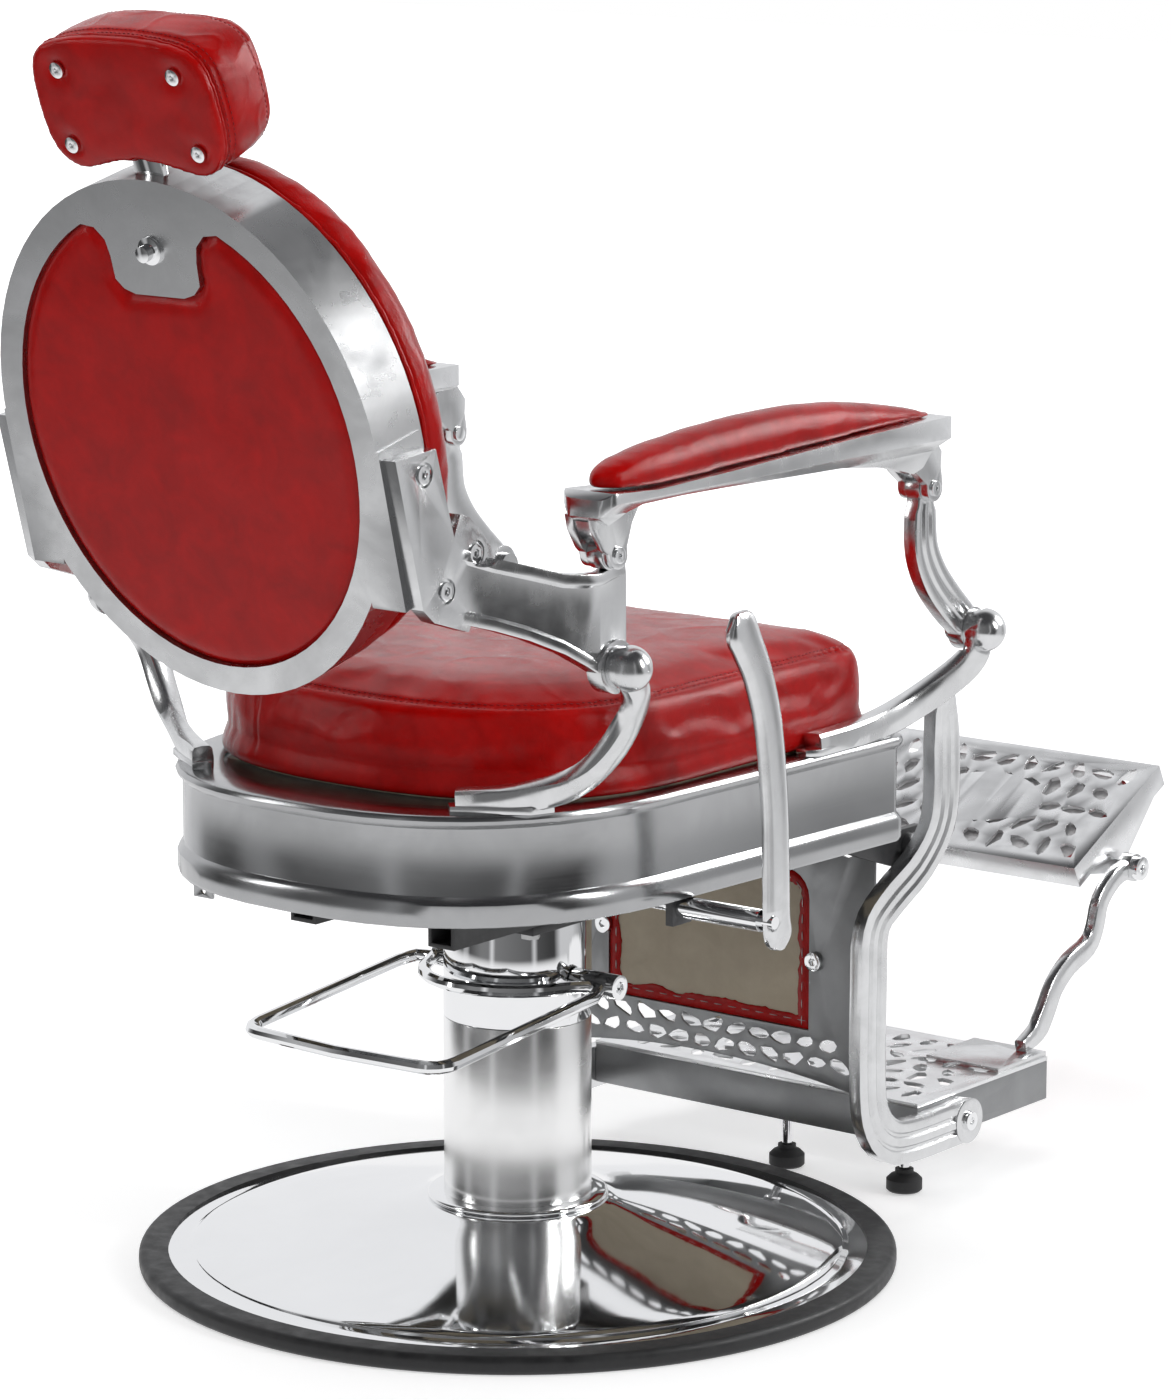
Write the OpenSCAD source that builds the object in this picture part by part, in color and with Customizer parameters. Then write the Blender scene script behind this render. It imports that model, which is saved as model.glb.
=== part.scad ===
// Hydraulic barber chair: oval reclining back, folding armrest linkage, fixed leg rest with
// an open grille platform, flip-over footrest, and a foot-pumped lifting and turning column.
// Frame: +Z up, front of the chair towards -Y, the sitter's right hand towards -X,
// origin on the floor in the middle of the base. Millimetres.

/* [Base] */
// Radius of the whole base over its rubber ring
base_r = 350; // [320:5:380]
// Width of the rubber ring seen from above
ring_w = 27; // [20:1:34]
// Height of the rubber ring
ring_h = 17; // [15:0.5:20]
// Height of the dome where it meets the column
dome_h = 61; // [50:1:75]
// Thickness of the pressed dome
dome_t = 3; // [2:0.5:4]
// Thickness of the base's steel bottom plate
core_t = 9; // [6:1:12]

/* [Column] */
// Outside radius of the column covers
column_r = 68; // [64:1:74]
// Wall of the lower column cover
sleeve_t = 5; // [3:0.5:6]
// Height of the joint between the lower and the upper cover
column_joint_z = 234; // [228:1:244]
// Top of the upper cover
head_top_z = 332; // [322:1:340]
// Radius of the lifting cylinder
cylinder_r = 55; // [50:1:57]
// Wall of the lifting cylinder
cylinder_t = 6; // [4:0.5:8]
// Radius of the fixed piston rod
rod_r = 16; // [12:1:20]
// Travel of the lift
lift_travel = 150; // [110:5:150]
// Radius of the spindle that the seat turns on
spindle_r = 32; // [26:1:36]

/* [Foot pump lever] */
// Height of the lever's axle
pump_axle_z = 275; // [274:1:290]
// Radius of the axle
pump_axle_r = 8; // [6:0.5:10]
// Radius of the bent rod
pump_rod_r = 6; // [5:0.5:7]
// Half width of the loop
pump_half_w = 115; // [104:1:125]
// Reach of the loop behind the axle
pump_reach = 250; // [220:5:280]
// Drop of the loop's end below the axle
pump_drop = 25; // [10:1:40]

/* [Seat frame] */
// Half width of the seat band
band_half_w = 240; // [232:1:250]
// Half width of the seat band at its front corners
band_front_half_w = 253; // [245:1:262]
// Distance from the column to the front of the band
band_front = 250; // [240:1:260]
// Distance from the column to the back of the band
band_rear = 315; // [300:1:330]
// Underside of the band
band_bottom_z = 388; // [380:1:396]
// Top of the band, where the cushion board lies
band_top_z = 487; // [480:1:495]
// Wall of the band
band_t = 5; // [4:0.5:8]
// Width of the band's inner flange
band_flange = 34; // [28:1:40]
// Thickness of the turntable plate
turntable_t = 8; // [6:1:10]
// Height of the chassis rails
rail_h = 40; // [30:1:44]
// Width of the chassis rails
rail_w = 30; // [24:1:36]

/* [Seat cushion] */
// Half width of the cushion
cushion_half_w = 233; // [224:1:236]
// Distance from the column to the front of the cushion
cushion_front = 243; // [236:1:248]
// Distance from the column to the back of the cushion
cushion_rear = 252; // [240:1:262]
// Height of the cushion at its edge
cushion_edge_h = 80; // [65:1:90]
// Rise of the cushion from its edge to its crown
cushion_crown = 13; // [6:1:24]
// Thickness of the plywood boards under the cushions
board_t = 8; // [6:1:12]

/* [Backrest] */
// Half width of the oval frame
back_half_w = 208.5; // [200:0.5:210]
// Half height of the oval frame
back_half_h = 229; // [220:0.5:240]
// Width of the frame's rear rim
back_rim = 25; // [20:1:30]
// Depth of the frame
back_depth = 58; // [48:1:64]
// Wall of the frame
back_wall = 7; // [5:0.5:9]
// Height of the oval's centre
back_z = 812; // [800:1:824]
// Distance from the column to the oval's centre
back_y = 435; // [428:1:442]
// Lean of the back at rest
back_lean = 14; // [12:0.5:16]
// Thickness of the back cushion with its crown
back_pad_t = 62; // [50:1:70]
// Overhang of the back cushion past the frame
back_pad_over = 4; // [2:1:8]

/* [Linkage] */
// Distance of the recline pivot behind the column
recline_y = 218; // [214:1:222]
// Height of the recline pivot
recline_z = 622; // [616:1:628]
// Distance of the front ball pivot ahead of the column
front_pivot_y = 314; // [310:1:318]
// Height of the front ball pivot
front_pivot_z = 579; // [574:1:584]
// Distance of the armrest's rear pin behind the column
arm_pin_y = 228; // [224:1:232]
// Height of both armrest pins
arm_pin_z = 719; // [714:1:724]
// Distance of the armrest's front pin ahead of the column
link_pin_y = 236; // [232:1:240]
// Inner face of the links
link_x = 270; // [266:1:274]
// Thickness of the links at their eyes
link_t = 15.5; // [12:0.5:17]
// Radius of the large pivot pins
pivot_r = 8; // [6:0.5:10]
// Radius of the armrest pins
pin_r = 4; // [3:0.5:5]
// Radius of the domed pivot caps
ball_r = 20; // [17:0.5:22]
// Radial play left in the open pivot at the front of each armrest
open_play = 1.8; // [1.6:0.1:2.4]

/* [Armrests] */
// Distance from the chair's middle to the middle of an armrest
arm_x = 286; // [282:1:290]
// Width of the armrest rail
arm_w = 56; // [48:1:60]
// Thickness of the armrest rail
arm_t = 20; // [16:1:24]
// Front end of the rail, ahead of the column
arm_front = 232; // [222:1:240]
// Rear end of the rail, behind the column
arm_rear = 265; // [258:1:272]

/* [Headrest] */
// Half width of the headrest
head_half_w = 98; // [85:1:110]
// Half height of the headrest
head_half_h = 56; // [46:1:66]
// Depth of the headrest cushion
head_depth = 84; // [70:1:100]
// Height of the headrest's centre above the top of the back
head_rise = 56; // [49:1:69]
// Lean of the headrest
head_lean = 20; // [16:1:24]
// Width of the flat post
post_w = 32; // [26:1:40]
// Thickness of the flat post
post_t = 6; // [5:0.5:8]

/* [Leg rest] */
// Inner face of the cast legs, from the chair's middle
leg_x = 195; // [188:1:200]
// Thickness of the cast legs
leg_t = 15; // [12:0.5:18]
// Width of the cast legs
leg_w = 42; // [36:1:46]
// Rear face of the leg panel, ahead of the column
panel_y = 290; // [284:1:296]
// Thickness of the leg panel
panel_t = 3; // [2:0.5:4]
// Thickness of the calf pad
calf_t = 42; // [30:1:50]
// Rear wall of the foot platform, ahead of the column
platform_rear = 365; // [360:1:372]
// Front of the foot platform
platform_front = 590; // [570:5:610]
// Top of the foot platform
platform_z = 100; // [94:1:110]
// Height of the platform's skirt
skirt_h = 43; // [36:1:48]
// Wall of the skirt
skirt_t = 4; // [3:0.5:6]
// Thickness of the tread grille
grille_t = 4; // [3:0.5:6]

/* [Flip footrest] */
// Distance of the flip pivot ahead of the column
flip_y = 767; // [755:1:780]
// Height of the flip pivot
flip_z = 257; // [250:1:270]
// Inner face of the flip arms
flip_arm_x = 168; // [160:1:174]
// Thickness of the flip arms
flip_arm_t = 14; // [10:1:16]
// Half width of the tread
tread_half_w = 162; // [150:1:164]
// Slope of the tread at rest
tread_slope = 27; // [20:1:34]
// Length of the tread
tread_len = 175; // [150:1:190]
// Height of the tread's face over its pivot
tread_rise = 48; // [42:1:56]
// Depth of the tread's rim
tread_rim = 24; // [18:1:28]

/* [Recline lever] */
// Height of the lever's shaft
lever_z = 377; // [372:0.5:377]
// Distance of the shaft behind the column
lever_y = 54; // [45:1:65]
// Radius of the shaft
lever_shaft_r = 6; // [5:0.5:7]
// Distance of the lever from the chair's middle
lever_x = 324; // [318:1:332]
// Thickness of the lever
lever_t = 14; // [10:1:18]

/* [Hidden] */
$fn = 48;
fine = 96;
fit = 0.05;      // radial running fit of a pin or shaft in its bore
clear = 0.3;     // gap between pieces that move past each other
LEFT = 1;
RIGHT = -1;

// Base
core_z = 3;
core_r = base_r - ring_w - 11;
core_top = core_z + core_t;
ring_in = base_r - ring_w;
mouth_r = column_r + 8.5;
flange_top = core_top + dome_t;

// Column, from the bottom up
rod_flange_r = 46;
rod_flange_t = 10;
bolt_circle = 33;
cylinder_bottom = core_top + 28;
gland_t = 14;
piston_z = cylinder_bottom + gland_t + lift_travel + 2;
piston_t = 22;
chamber_top = piston_z + piston_t + 3;
block_bottom = pump_axle_z - pump_axle_r - 5;
sleeve_in = column_r - sleeve_t;
cover_t = 3;
washer_t = 5;
turntable_z = head_top_z + washer_t;
hub_r = spindle_r + 18;
hub_h = 27;
spindle_top = turntable_z + turntable_t + hub_h + clear;

// Foot pump lever
barrel_r = pump_rod_r + 5.5;
barrel_len = 50;
loop_r = column_r + 18;

// Seat frame
plate_half = 95;
rail_x = plate_half - rail_w / 2;
rail_z = turntable_z + turntable_t;
cross_z = rail_z + rail_h;
cross_h = 30;
flange_t = 5;
band_lip = 6;
round_y = 48;
front_cross_y = -215;
rear_cross_y = 190;
post_size = 26;
hanger_x = 211;
hanger_t = 8;
hanger_z = 365;
board_z = band_top_z;
cushion_z = board_z + board_t + clear;

// Linkage; every list is [distance behind the column, height]
recline = [recline_y, recline_z];
front_ball = [-front_pivot_y, front_pivot_z];
rear_pin = [arm_pin_y, arm_pin_z];
front_pin = [-link_pin_y, arm_pin_z];
eye_x = link_x + link_t + clear;
eye_t = 12;
cap_x = eye_x + eye_t;
lug_t = 8;

// Back, in its own frame: origin at the oval's centre on the rear face
plate_x = 210;
plate_t = 14;
tab_z = back_half_h - 99;
tab_half = 47;
clamp_z = back_half_h - 61;
head_z = back_z + back_half_h + head_rise;
panel_in = 0.4;
post_y = 14;
guide_wall = 4;

// Leg rest and platform
calf_half_w = 132;
calf_bottom = 170;
calf_top = 342;
calf_board_t = 10;
stud_r = 5;
leveller_y = -395;
leveller_spots = [-160, -20];
flip_bolt_r = 6;

// Places and thicknesses of smaller pieces
barrel_end = column_r + 1 + barrel_len;
rail_wall = 4;
bolt_r = 5;
bracket_x = 222;
bracket_t = 8;
leg_mid = leg_x + leg_t / 2;
leg_foot_z = platform_z - 28;
foot_bolt = [-431, leg_foot_z];
foot_step = 0.8;  // the round foot stands this much proud of the ribs
screw_r = 5;
panel_bolt_x = 126;
panel_bolt_z = 244;
grille_z = platform_z - grille_t;
skirt_top = grille_z;
rib_z = 66;
rib_h = 6;
flip_mid = flip_arm_x + flip_arm_t / 2;
tread_front = -106;
tread_back = tread_front + tread_len;
shaft_out = lever_x + lever_t / 2;
rim_t = 6;
pad_gap = clear;
clamp_r = 5;
// Bolt spots in world place: [behind the column, height, 1 through into the frame]
link_bolt_spots = [[396, 800, 1], [368, 700, 1], [330, 727, 0]];
link_bolt_r = 5;
arm_high = [[-arm_front, 787], [-100, 784], [0, 780], [100, 776], [200, 773], [arm_rear - 8, 776], [arm_rear, 770]];
head_board_t = 9;
head_screw_r = 3.5;
head_screw_spots = [[-64, 27], [64, 27], [-70, -40], [70, -40]];

// ---------------------------------------------------------------- helpers

function lerp(a, b, t) = a + (b - a) * t;
function unit(v) = v / norm(v);
function spow(v, e) = sign(v) * pow(abs(v), e);
function frac(v) = v - floor(v);
function chance(i) = frac(sin(i * 127.1) * 437.585);
function arc(c, r, a0, a1, n = 8) = [for (k = [0 : n]) let (a = lerp(a0, a1, k / n)) c + r * [cos(a), sin(a)]];
function backwards(p) = [for (i = [len(p) - 1 : -1 : 0]) p[i]];

// Smooth curve through points, with the given number of pieces per span
function spline(p, steps = 4) = let (n = len(p)) concat([
    for (i = [0 : n - 2])
        let (a = i > 0 ? p[i - 1] : 2 * p[0] - p[1], b = p[i], c = p[i + 1], d = i < n - 2 ? p[i + 2] : 2 * c - b)
        for (k = [0 : steps - 1])
            let (t = k / steps)
            0.5 * (2 * b + (c - a) * t + (2 * a - 5 * b + 4 * c - d) * t * t + (3 * b - a - 3 * c + d) * t * t * t)
], [p[n - 1]]);

// Superellipse with m points
function rounded(a, b, e = 2.6, m = 24) =
    [for (k = [0 : m - 1]) [a * spow(cos(360 * k / m), 2 / e), b * spow(sin(360 * k / m), 2 / e)]];

function ellipse(a, b, m = 72) = [for (k = [0 : m - 1]) [a * cos(360 * k / m), b * sin(360 * k / m)]];

// D-shaped plan of the seat: straight sides, square front with round corners, round rear
function dee(half_w, front_half, front, rear, corner, off = 0, e = 2.5) = concat(
    [for (k = [0 : 24]) [(half_w + off) * spow(cos(7.5 * k), 2 / e),
                         round_y + (rear - round_y + off) * spow(sin(7.5 * k), 2 / e)]],
    let (r = max(corner + off, corner * 0.4))
    let (x = front_half + off - r, y = -front - off + r)
    concat(arc([-x, y], r, 180, 270, 4), arc([x, y], r, 270, 360, 4)));

// Solid skin over rings of points that run counter-clockwise seen from the last ring
module skin(rings, closed = false) {
    n = len(rings);
    m = len(rings[0]);
    sides = [for (i = [0 : n - (closed ? 1 : 2)], j = [0 : m - 1])
        let (a = i * m, b = ((i + 1) % n) * m, k = (j + 1) % m)
        each [[a + j, b + j, b + k], [a + j, b + k, a + k]]];
    caps = closed ? [] : [[for (j = [0 : m - 1]) j], [for (j = [m - 1 : -1 : 0]) (n - 1) * m + j]];
    polyhedron([for (r = rings) each r], concat(sides, caps));
}

function tangent(p, i) = unit(p[min(i + 1, len(p) - 1)] - p[max(i - 1, 0)]);

// Bar swept along a path: its first size lies across, along X, its second in the plane of the path
module bar(path, across, deep, section) {
    skin([for (i = [0 : len(path) - 1])
        let (t = tangent(path, i), u = unit([1, 0, 0] - t * t.x), v = cross(t, u))
        [for (s = section) path[i] + u * s.x * across[i] + v * s.y * deep[i]]]);
}

bar_section = rounded(0.5, 0.5, 4, 12);
rod_section = [for (k = [0 : 9]) [cos(36 * k), sin(36 * k)]];
// Cast bar with three ribs along its outer face
ribbed_section = [[0.42, -0.5], [0.5, -0.42], [0.5, -0.24], [0.32, -0.19], [0.32, -0.13], [0.5, -0.08],
                  [0.5, 0.08], [0.32, 0.13], [0.32, 0.19], [0.5, 0.24], [0.5, 0.42], [0.42, 0.5],
                  [-0.42, 0.5], [-0.5, 0.42], [-0.5, -0.42], [-0.42, -0.5]];

// Plate with its outline in the plane of Y and Z, from x0 outwards
module side_plate(outline, x0, t) {
    translate([x0, 0, 0]) rotate([90, 0, 90]) linear_extrude(t) polygon(outline);
}

// Round bar along X through a point [y, z]
module along_x(at, x0, x1, r, n = $fn) {
    translate([x0, at.x, at.y]) rotate([0, 90, 0]) cylinder(h = x1 - x0, r = r, $fn = n);
}

module both_sides() {
    children();
    mirror([1, 0, 0]) children();
}

module in_back() {
    translate([0, back_y, back_z]) rotate([-back_lean, 0, 0]) children();
}

module in_head() {
    translate([0, back_y + (head_z - back_z) * tan(back_lean), head_z]) rotate([-head_lean, 0, 0]) children();
}

module in_tread() {
    translate([0, -flip_y, flip_z]) rotate([-tread_slope, 0, 0]) children();
}

// Cuts whatever hangs below a height
module above(z) {
    difference() {
        children();
        translate([-400, -600, z - 100]) cube([800, 1200, 100]);
    }
}

// ---------------------------------------------------------------- base

module base_ring() color("#202022") {
    edge = 6;
    rotate_extrude($fn = fine) polygon(concat(
        [[core_r, 0]], arc([base_r - edge, edge], edge, -90, 0, 5),
        arc([base_r - edge, ring_h - edge], edge, 0, 90, 5),
        [[ring_in, ring_h], [ring_in, core_top], [core_r, core_top]]));
}

module base_bottom_plate() color("#5b5e62") {
    hole_r = 42;
    difference() {
        translate([0, 0, core_z]) cylinder(h = core_t, r = core_r, $fn = fine);
        for (k = [0 : 5]) rotate([0, 0, 60 * k]) translate([core_r * 0.62, 0, -1]) cylinder(h = core_top + 2, r = hole_r);
        bolt_holes(core_z - 1, core_top + 1);
    }
}

module bolt_holes(z0, z1) {
    for (k = [0 : 3]) rotate([0, 0, 45 + 90 * k]) translate([bolt_circle, 0, z0]) cylinder(h = z1 - z0, r = 4);
}

module base_bolts() color("#8d9196") {
    head = 6;
    bolt_holes(core_z, core_top + rod_flange_t);
    for (k = [0 : 3]) rotate([0, 0, 45 + 90 * k])
        translate([bolt_circle, 0, core_top + rod_flange_t]) cylinder(h = head, r = 7, $fn = 6);
}

// Pressed dome: flat rim, rounded step, long slope, flat seat for the collar
module base_dome() color("#dfe2e6") {
    step = 7;
    slope_z = flange_top + step;
    rise = dome_h - slope_z;
    top = concat([[ring_in, flange_top]],
        spline([[ring_in - 16, flange_top], [ring_in - 23, flange_top + step * 0.4],
                [ring_in - 32, slope_z], [ring_in * 0.62, slope_z + rise * 0.42],
                [ring_in * 0.37, slope_z + rise * 0.78], [mouth_r + 9, dome_h]], 4),
        [[mouth_r, dome_h]]);
    rotate_extrude($fn = fine) polygon(concat(top, [for (p = backwards(top)) p - [0, dome_t]]));
}

module column_collar() color("#e4e7ea") {
    lip = 7;
    rotate_extrude($fn = fine) polygon(concat(
        [[column_r, dome_h - 10], [mouth_r, dome_h - 10], [mouth_r, dome_h]],
        arc([mouth_r + lip - 3, dome_h + 3], 3, -90, 90, 6),
        [[column_r, dome_h + 6]]));
}

module column_lower_cover() color("#c9ccd0") tube(column_r, sleeve_in, core_top, column_joint_z - 0.5);

module tube(r, inner, z0, z1) {
    translate([0, 0, z0]) difference() {
        cylinder(h = z1 - z0, r = r, $fn = fine);
        translate([0, 0, -1]) cylinder(h = z1 - z0 + 2, r = inner, $fn = fine);
    }
}

module column_guide_bush() color("#3a3a3c") tube(sleeve_in, cylinder_r + fit, column_joint_z - 40, column_joint_z - 3);

module piston_rod() color("#9aa0a6") {
    difference() {
        translate([0, 0, core_top]) cylinder(h = rod_flange_t, r = rod_flange_r);
        bolt_holes(core_top - 1, core_top + rod_flange_t + 1);
    }
    translate([0, 0, core_top]) cylinder(h = piston_z - core_top, r = rod_r);
    translate([0, 0, piston_z]) cylinder(h = piston_t, r = cylinder_r - cylinder_t - fit);
}

// ---------------------------------------------------------------- lifting column

module lift_cylinder() color("#d5d8dc") {
    bore_r = cylinder_r - cylinder_t;
    translate([0, 0, cylinder_bottom]) difference() {
        cylinder(h = block_bottom - cylinder_bottom, r = cylinder_r, $fn = fine);
        translate([0, 0, -1]) cylinder(h = gland_t + 2, r = rod_r + fit);
        translate([0, 0, gland_t]) cylinder(h = chamber_top - cylinder_bottom - gland_t, r = bore_r, $fn = fine);
    }
}

module pump_head() color("#b9bdc2") {
    difference() {
        translate([0, 0, block_bottom]) cylinder(h = head_top_z - block_bottom, r = column_r - cover_t, $fn = fine);
        along_x([0, pump_axle_z], -column_r, column_r, pump_axle_r + fit);
    }
    translate([0, 0, head_top_z]) cylinder(h = spindle_top - head_top_z, r = spindle_r);
}

module column_upper_cover() color("#eceef0") {
    difference() {
        tube(column_r, column_r - cover_t, column_joint_z, head_top_z);
        along_x([0, pump_axle_z], -column_r - 1, column_r + 1, pump_axle_r + 1);
    }
}

module thrust_washer() color("#b08d4a") tube(column_r - 8, spindle_r + 2, head_top_z, turntable_z);

module spindle_cap() color("#8d9196") {
    cap_t = 5;
    bolt_r = 8;
    translate([0, 0, spindle_top]) cylinder(h = cap_t, r = hub_r - 6);
    translate([0, 0, spindle_top + cap_t]) cylinder(h = cap_t, r = bolt_r, $fn = 6);
}

// ---------------------------------------------------------------- foot pump lever

module pump_axle() color("#9aa0a6") {
    along_x([0, pump_axle_z], -barrel_end + 7, column_r + 1 + barrel_len / 2, pump_axle_r);
}

// Closed loop of bent rod: round behind the column, out along both sides, across at the end
module pump_lever() color("#e4e7ea") {
    drop = pump_drop / pump_reach;
    end_r = 22;
    far = pump_reach - end_r;
    loop = concat(
        [for (k = [0 : 10]) let (a = 20 + 14 * k) [loop_r * cos(a), loop_r * sin(a), pump_axle_z]],
        [[-loop_r - 8, 14, pump_axle_z], [-loop_r - 18, 12, pump_axle_z - 2],
         [-pump_half_w, 34, pump_axle_z - 34 * drop]],
        [for (k = [0 : 4]) let (a = 180 - 22.5 * k)
            [-pump_half_w + end_r + end_r * cos(a), far + end_r * sin(a), pump_axle_z - (far + end_r * sin(a)) * drop]],
        [[0, pump_reach + 5, pump_axle_z - pump_drop - 0.5]],
        [for (k = [0 : 4]) let (a = 90 - 22.5 * k)
            [pump_half_w - end_r + end_r * cos(a), far + end_r * sin(a), pump_axle_z - (far + end_r * sin(a)) * drop]],
        [[pump_half_w, 34, pump_axle_z - 34 * drop], [pump_half_w - 6, 14, pump_axle_z - 1],
         [loop_r + 4, 12, pump_axle_z]]);
    n = len(loop);
    difference() {
        union() {
            skin([for (i = [0 : n - 1])
                let (t = unit(loop[(i + 1) % n] - loop[(i + n - 1) % n]), u = unit(cross([0, 0, 1], t)), v = cross(t, u))
                [for (s = rod_section) loop[i] + pump_rod_r * (u * s.x + v * s.y)]], closed = true);
            along_x([0, pump_axle_z], -barrel_end, -column_r - 1, barrel_r);
            along_x([0, pump_axle_z], column_r + 1, column_r + 1 + barrel_len / 2, barrel_r);
        }
        along_x([0, pump_axle_z], -barrel_end + 7, barrel_end, pump_axle_r);
        along_x([0, pump_axle_z], -barrel_end - 1, -barrel_end + 4, pump_axle_r - 2, 6);
    }
}

// ---------------------------------------------------------------- seat frame

module turntable_plate() color("#6f7276") {
    difference() {
        union() {
            translate([-plate_half, -plate_half, turntable_z]) cube([2 * plate_half, 2 * plate_half, turntable_t]);
            translate([0, 0, rail_z]) cylinder(h = hub_h, r = hub_r);
        }
        translate([0, 0, turntable_z - 1]) cylinder(h = turntable_t + hub_h + 2, r = spindle_r + fit);
        chassis_bolt_spots() translate([0, 0, turntable_z - 1]) cylinder(h = turntable_t + 2, r = bolt_r);
    }
}

module chassis_bolt_spots() {
    for (x = [-1, 1], y = [-1, 1]) translate([x * rail_x, y * rail_x, 0]) children();
}

module chassis_bolts() color("#8d9196") {
    chassis_bolt_spots() {
        translate([0, 0, turntable_z - 6]) cylinder(h = 6, r = 9, $fn = 6);
        translate([0, 0, turntable_z]) cylinder(h = turntable_t + rail_wall, r = bolt_r);
        translate([0, 0, rail_z + rail_wall]) cylinder(h = 7, r = 9, $fn = 6);
    }
}

// Two box rails along the chair, two cross rails out to the band, hangers for the legs, lever brackets
module seat_chassis() color("#55585c") {
    rail_from = front_cross_y - rail_w / 2;
    rail_to = rear_cross_y + rail_w / 2;
    inside = rail_w - 2 * rail_wall;
    difference() {
        both_sides() translate([rail_x - rail_w / 2, rail_from, rail_z]) cube([rail_w, rail_to - rail_from, rail_h]);
        both_sides() translate([rail_x - inside / 2, rail_from - 1, rail_z + rail_wall])
            cube([inside, rail_to - rail_from + 2, rail_h - 2 * rail_wall]);
        chassis_bolt_spots() translate([0, 0, rail_z - 1]) cylinder(h = rail_wall + 2, r = bolt_r);
        along_x([lever_y, lever_z], -plate_half - 1, -plate_half + rail_w + 1, lever_shaft_r + fit);
    }
    intersection() {
        translate([0, 0, cross_z]) linear_extrude(cross_h) polygon(band_plan(-band_t));
        for (y = [front_cross_y, rear_cross_y]) translate([-band_half_w, y - rail_w / 2, cross_z])
            cube([2 * band_half_w, rail_w, cross_h]);
    }
    both_sides() side_plate([[front_cross_y + 12, cross_z - 6], [front_cross_y + 12, cross_z],
        [front_cross_y - 24, cross_z], [front_cross_y - 24, band_bottom_z - 5], [-330, band_bottom_z - 5],
        [-330, hanger_z - 17], [-292, hanger_z - 17], [front_cross_y - 20, cross_z - 18]], hanger_x, hanger_t);
    difference() {
        union() {
            translate([-bracket_x - bracket_t, lever_y - 14, band_bottom_z - 27]) cube([bracket_t, 28, 50]);
            translate([-bracket_x - bracket_t, lever_y - 14, cross_z]) cube([bracket_x - rail_x + bracket_t, 28, 6]);
        }
        along_x([lever_y, lever_z], -bracket_x - bracket_t - 1, -bracket_x + 1, lever_shaft_r + fit);
    }
}

function band_plan(off) = dee(band_half_w, band_front_half_w, band_front, band_rear, 14, off);

// Rolled steel band: two beads outside, flange turned in at the top to carry the cushion board
module seat_band() color("#b5b8bc") {
    low = band_bottom_z;
    top = band_top_z;
    profile = [[3, low], [5, low + 4], [5, low + 20], [2, low + 25], [0, low + 27], [0, top - 13], [4, top - 9],
               [band_lip, top - 5], [4, top - 1], [0, top], [-band_flange, top], [-band_flange, top - flange_t],
               [-band_t, top - flange_t - 2], [-band_t, low + 4], [-3, low]];
    plans = [for (q = profile) backwards(band_plan(q.x))];
    skin([for (i = [0 : len(plans[0]) - 1]) [for (j = [0 : len(profile) - 1])
        [plans[j][i].x, plans[j][i].y, profile[j].y]]], closed = true);
    // Shelf behind the rear cross member, under the cushion's rear edge
    intersection() {
        translate([0, 0, top - flange_t - 0.5]) linear_extrude(flange_t) polygon(band_plan(4 - band_flange));
        translate([-band_half_w, rear_cross_y + rail_w / 2 + 10, low]) cube([2 * band_half_w, band_rear, top - low]);
    }
    // Ear with a hole under the rear edge
    ear = [110, band_rear - 26];
    difference() {
        translate([ear.x, ear.y, low - 10]) cube([22, 3, 14]);
        translate([ear.x + 11, ear.y + 4, low - 4]) rotate([90, 0, 0]) cylinder(h = 5, r = 3);
    }
}

// ---------------------------------------------------------------- seat cushion

function cushion_plan(off) = dee(cushion_half_w, cushion_half_w, cushion_front, cushion_rear, 38, off);

module seat_board() color("#b08c5c") {
    translate([0, 0, board_z]) linear_extrude(board_t) polygon(cushion_plan(-8));
}

module seat_cushion() color("#a3121a") {
    edge = cushion_edge_h;
    crown = cushion_crown;
    rings = [[-10, 0], [-3, 5], [0, 15], [2, edge / 2], [0, edge - 18], [-4, edge - 8], [-12, edge - 2],
             [-30, edge + crown * 0.35], [-70, edge + crown * 0.8], [-120, edge + crown]];
    skin([for (r = rings) [for (p = cushion_plan(r.x)) [p.x, p.y, cushion_z + r.y]]]);
}

// ---------------------------------------------------------------- linkage on the seat

rear_arm_path = spline([[146, 262, 495], [190, 235, 499], [230, 209, 513], [256, 195, 539], [274, 189, 570],
                        [288, 196, 596], [eye_x + eye_t / 2, recline.x, recline.y]], 4);
front_arm_path = spline([[246, -118, 495], [247, -178, 496], [252, -232, 504], [265, -272, 521],
                         [281, -299, 541], [290, -312, 558], [eye_x + eye_t / 2, front_ball.x, front_ball.y]], 4);

module s_arm(path, at, foot, deep) {
    n = len(path) - 1;
    difference() {
        union() {
            above(band_top_z) bar(path, [for (i = [0 : n]) lerp(20, eye_t + 2, pow(i / n, 3))],
                [for (i = [0 : n]) lerp(24, deep, i / n)], bar_section);
            along_x(at, eye_x, cap_x, ball_r - 2);
            translate([0, 0, band_top_z]) linear_extrude(6) polygon(foot);
        }
        along_x(at, eye_x - 1, cap_x + 1, pivot_r);
        along_x(at, link_x - 9, eye_x, ball_r + 5);
        along_x(at, cap_x, cap_x + 9, ball_r + 1);
    }
}

module rear_arms() color("#c4c7cb") {
    both_sides() s_arm(rear_arm_path, recline, [[136, 262], [150, 247], [205, 210], [215, 215], [206, 236], [148, 274]], 30);
}

module front_arms() color("#c4c7cb") {
    both_sides() s_arm(front_arm_path, front_ball, [[237, -105], [237, -240], [250, -240], [256, -225], [256, -118], [248, -105]], 34);
}

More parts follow.
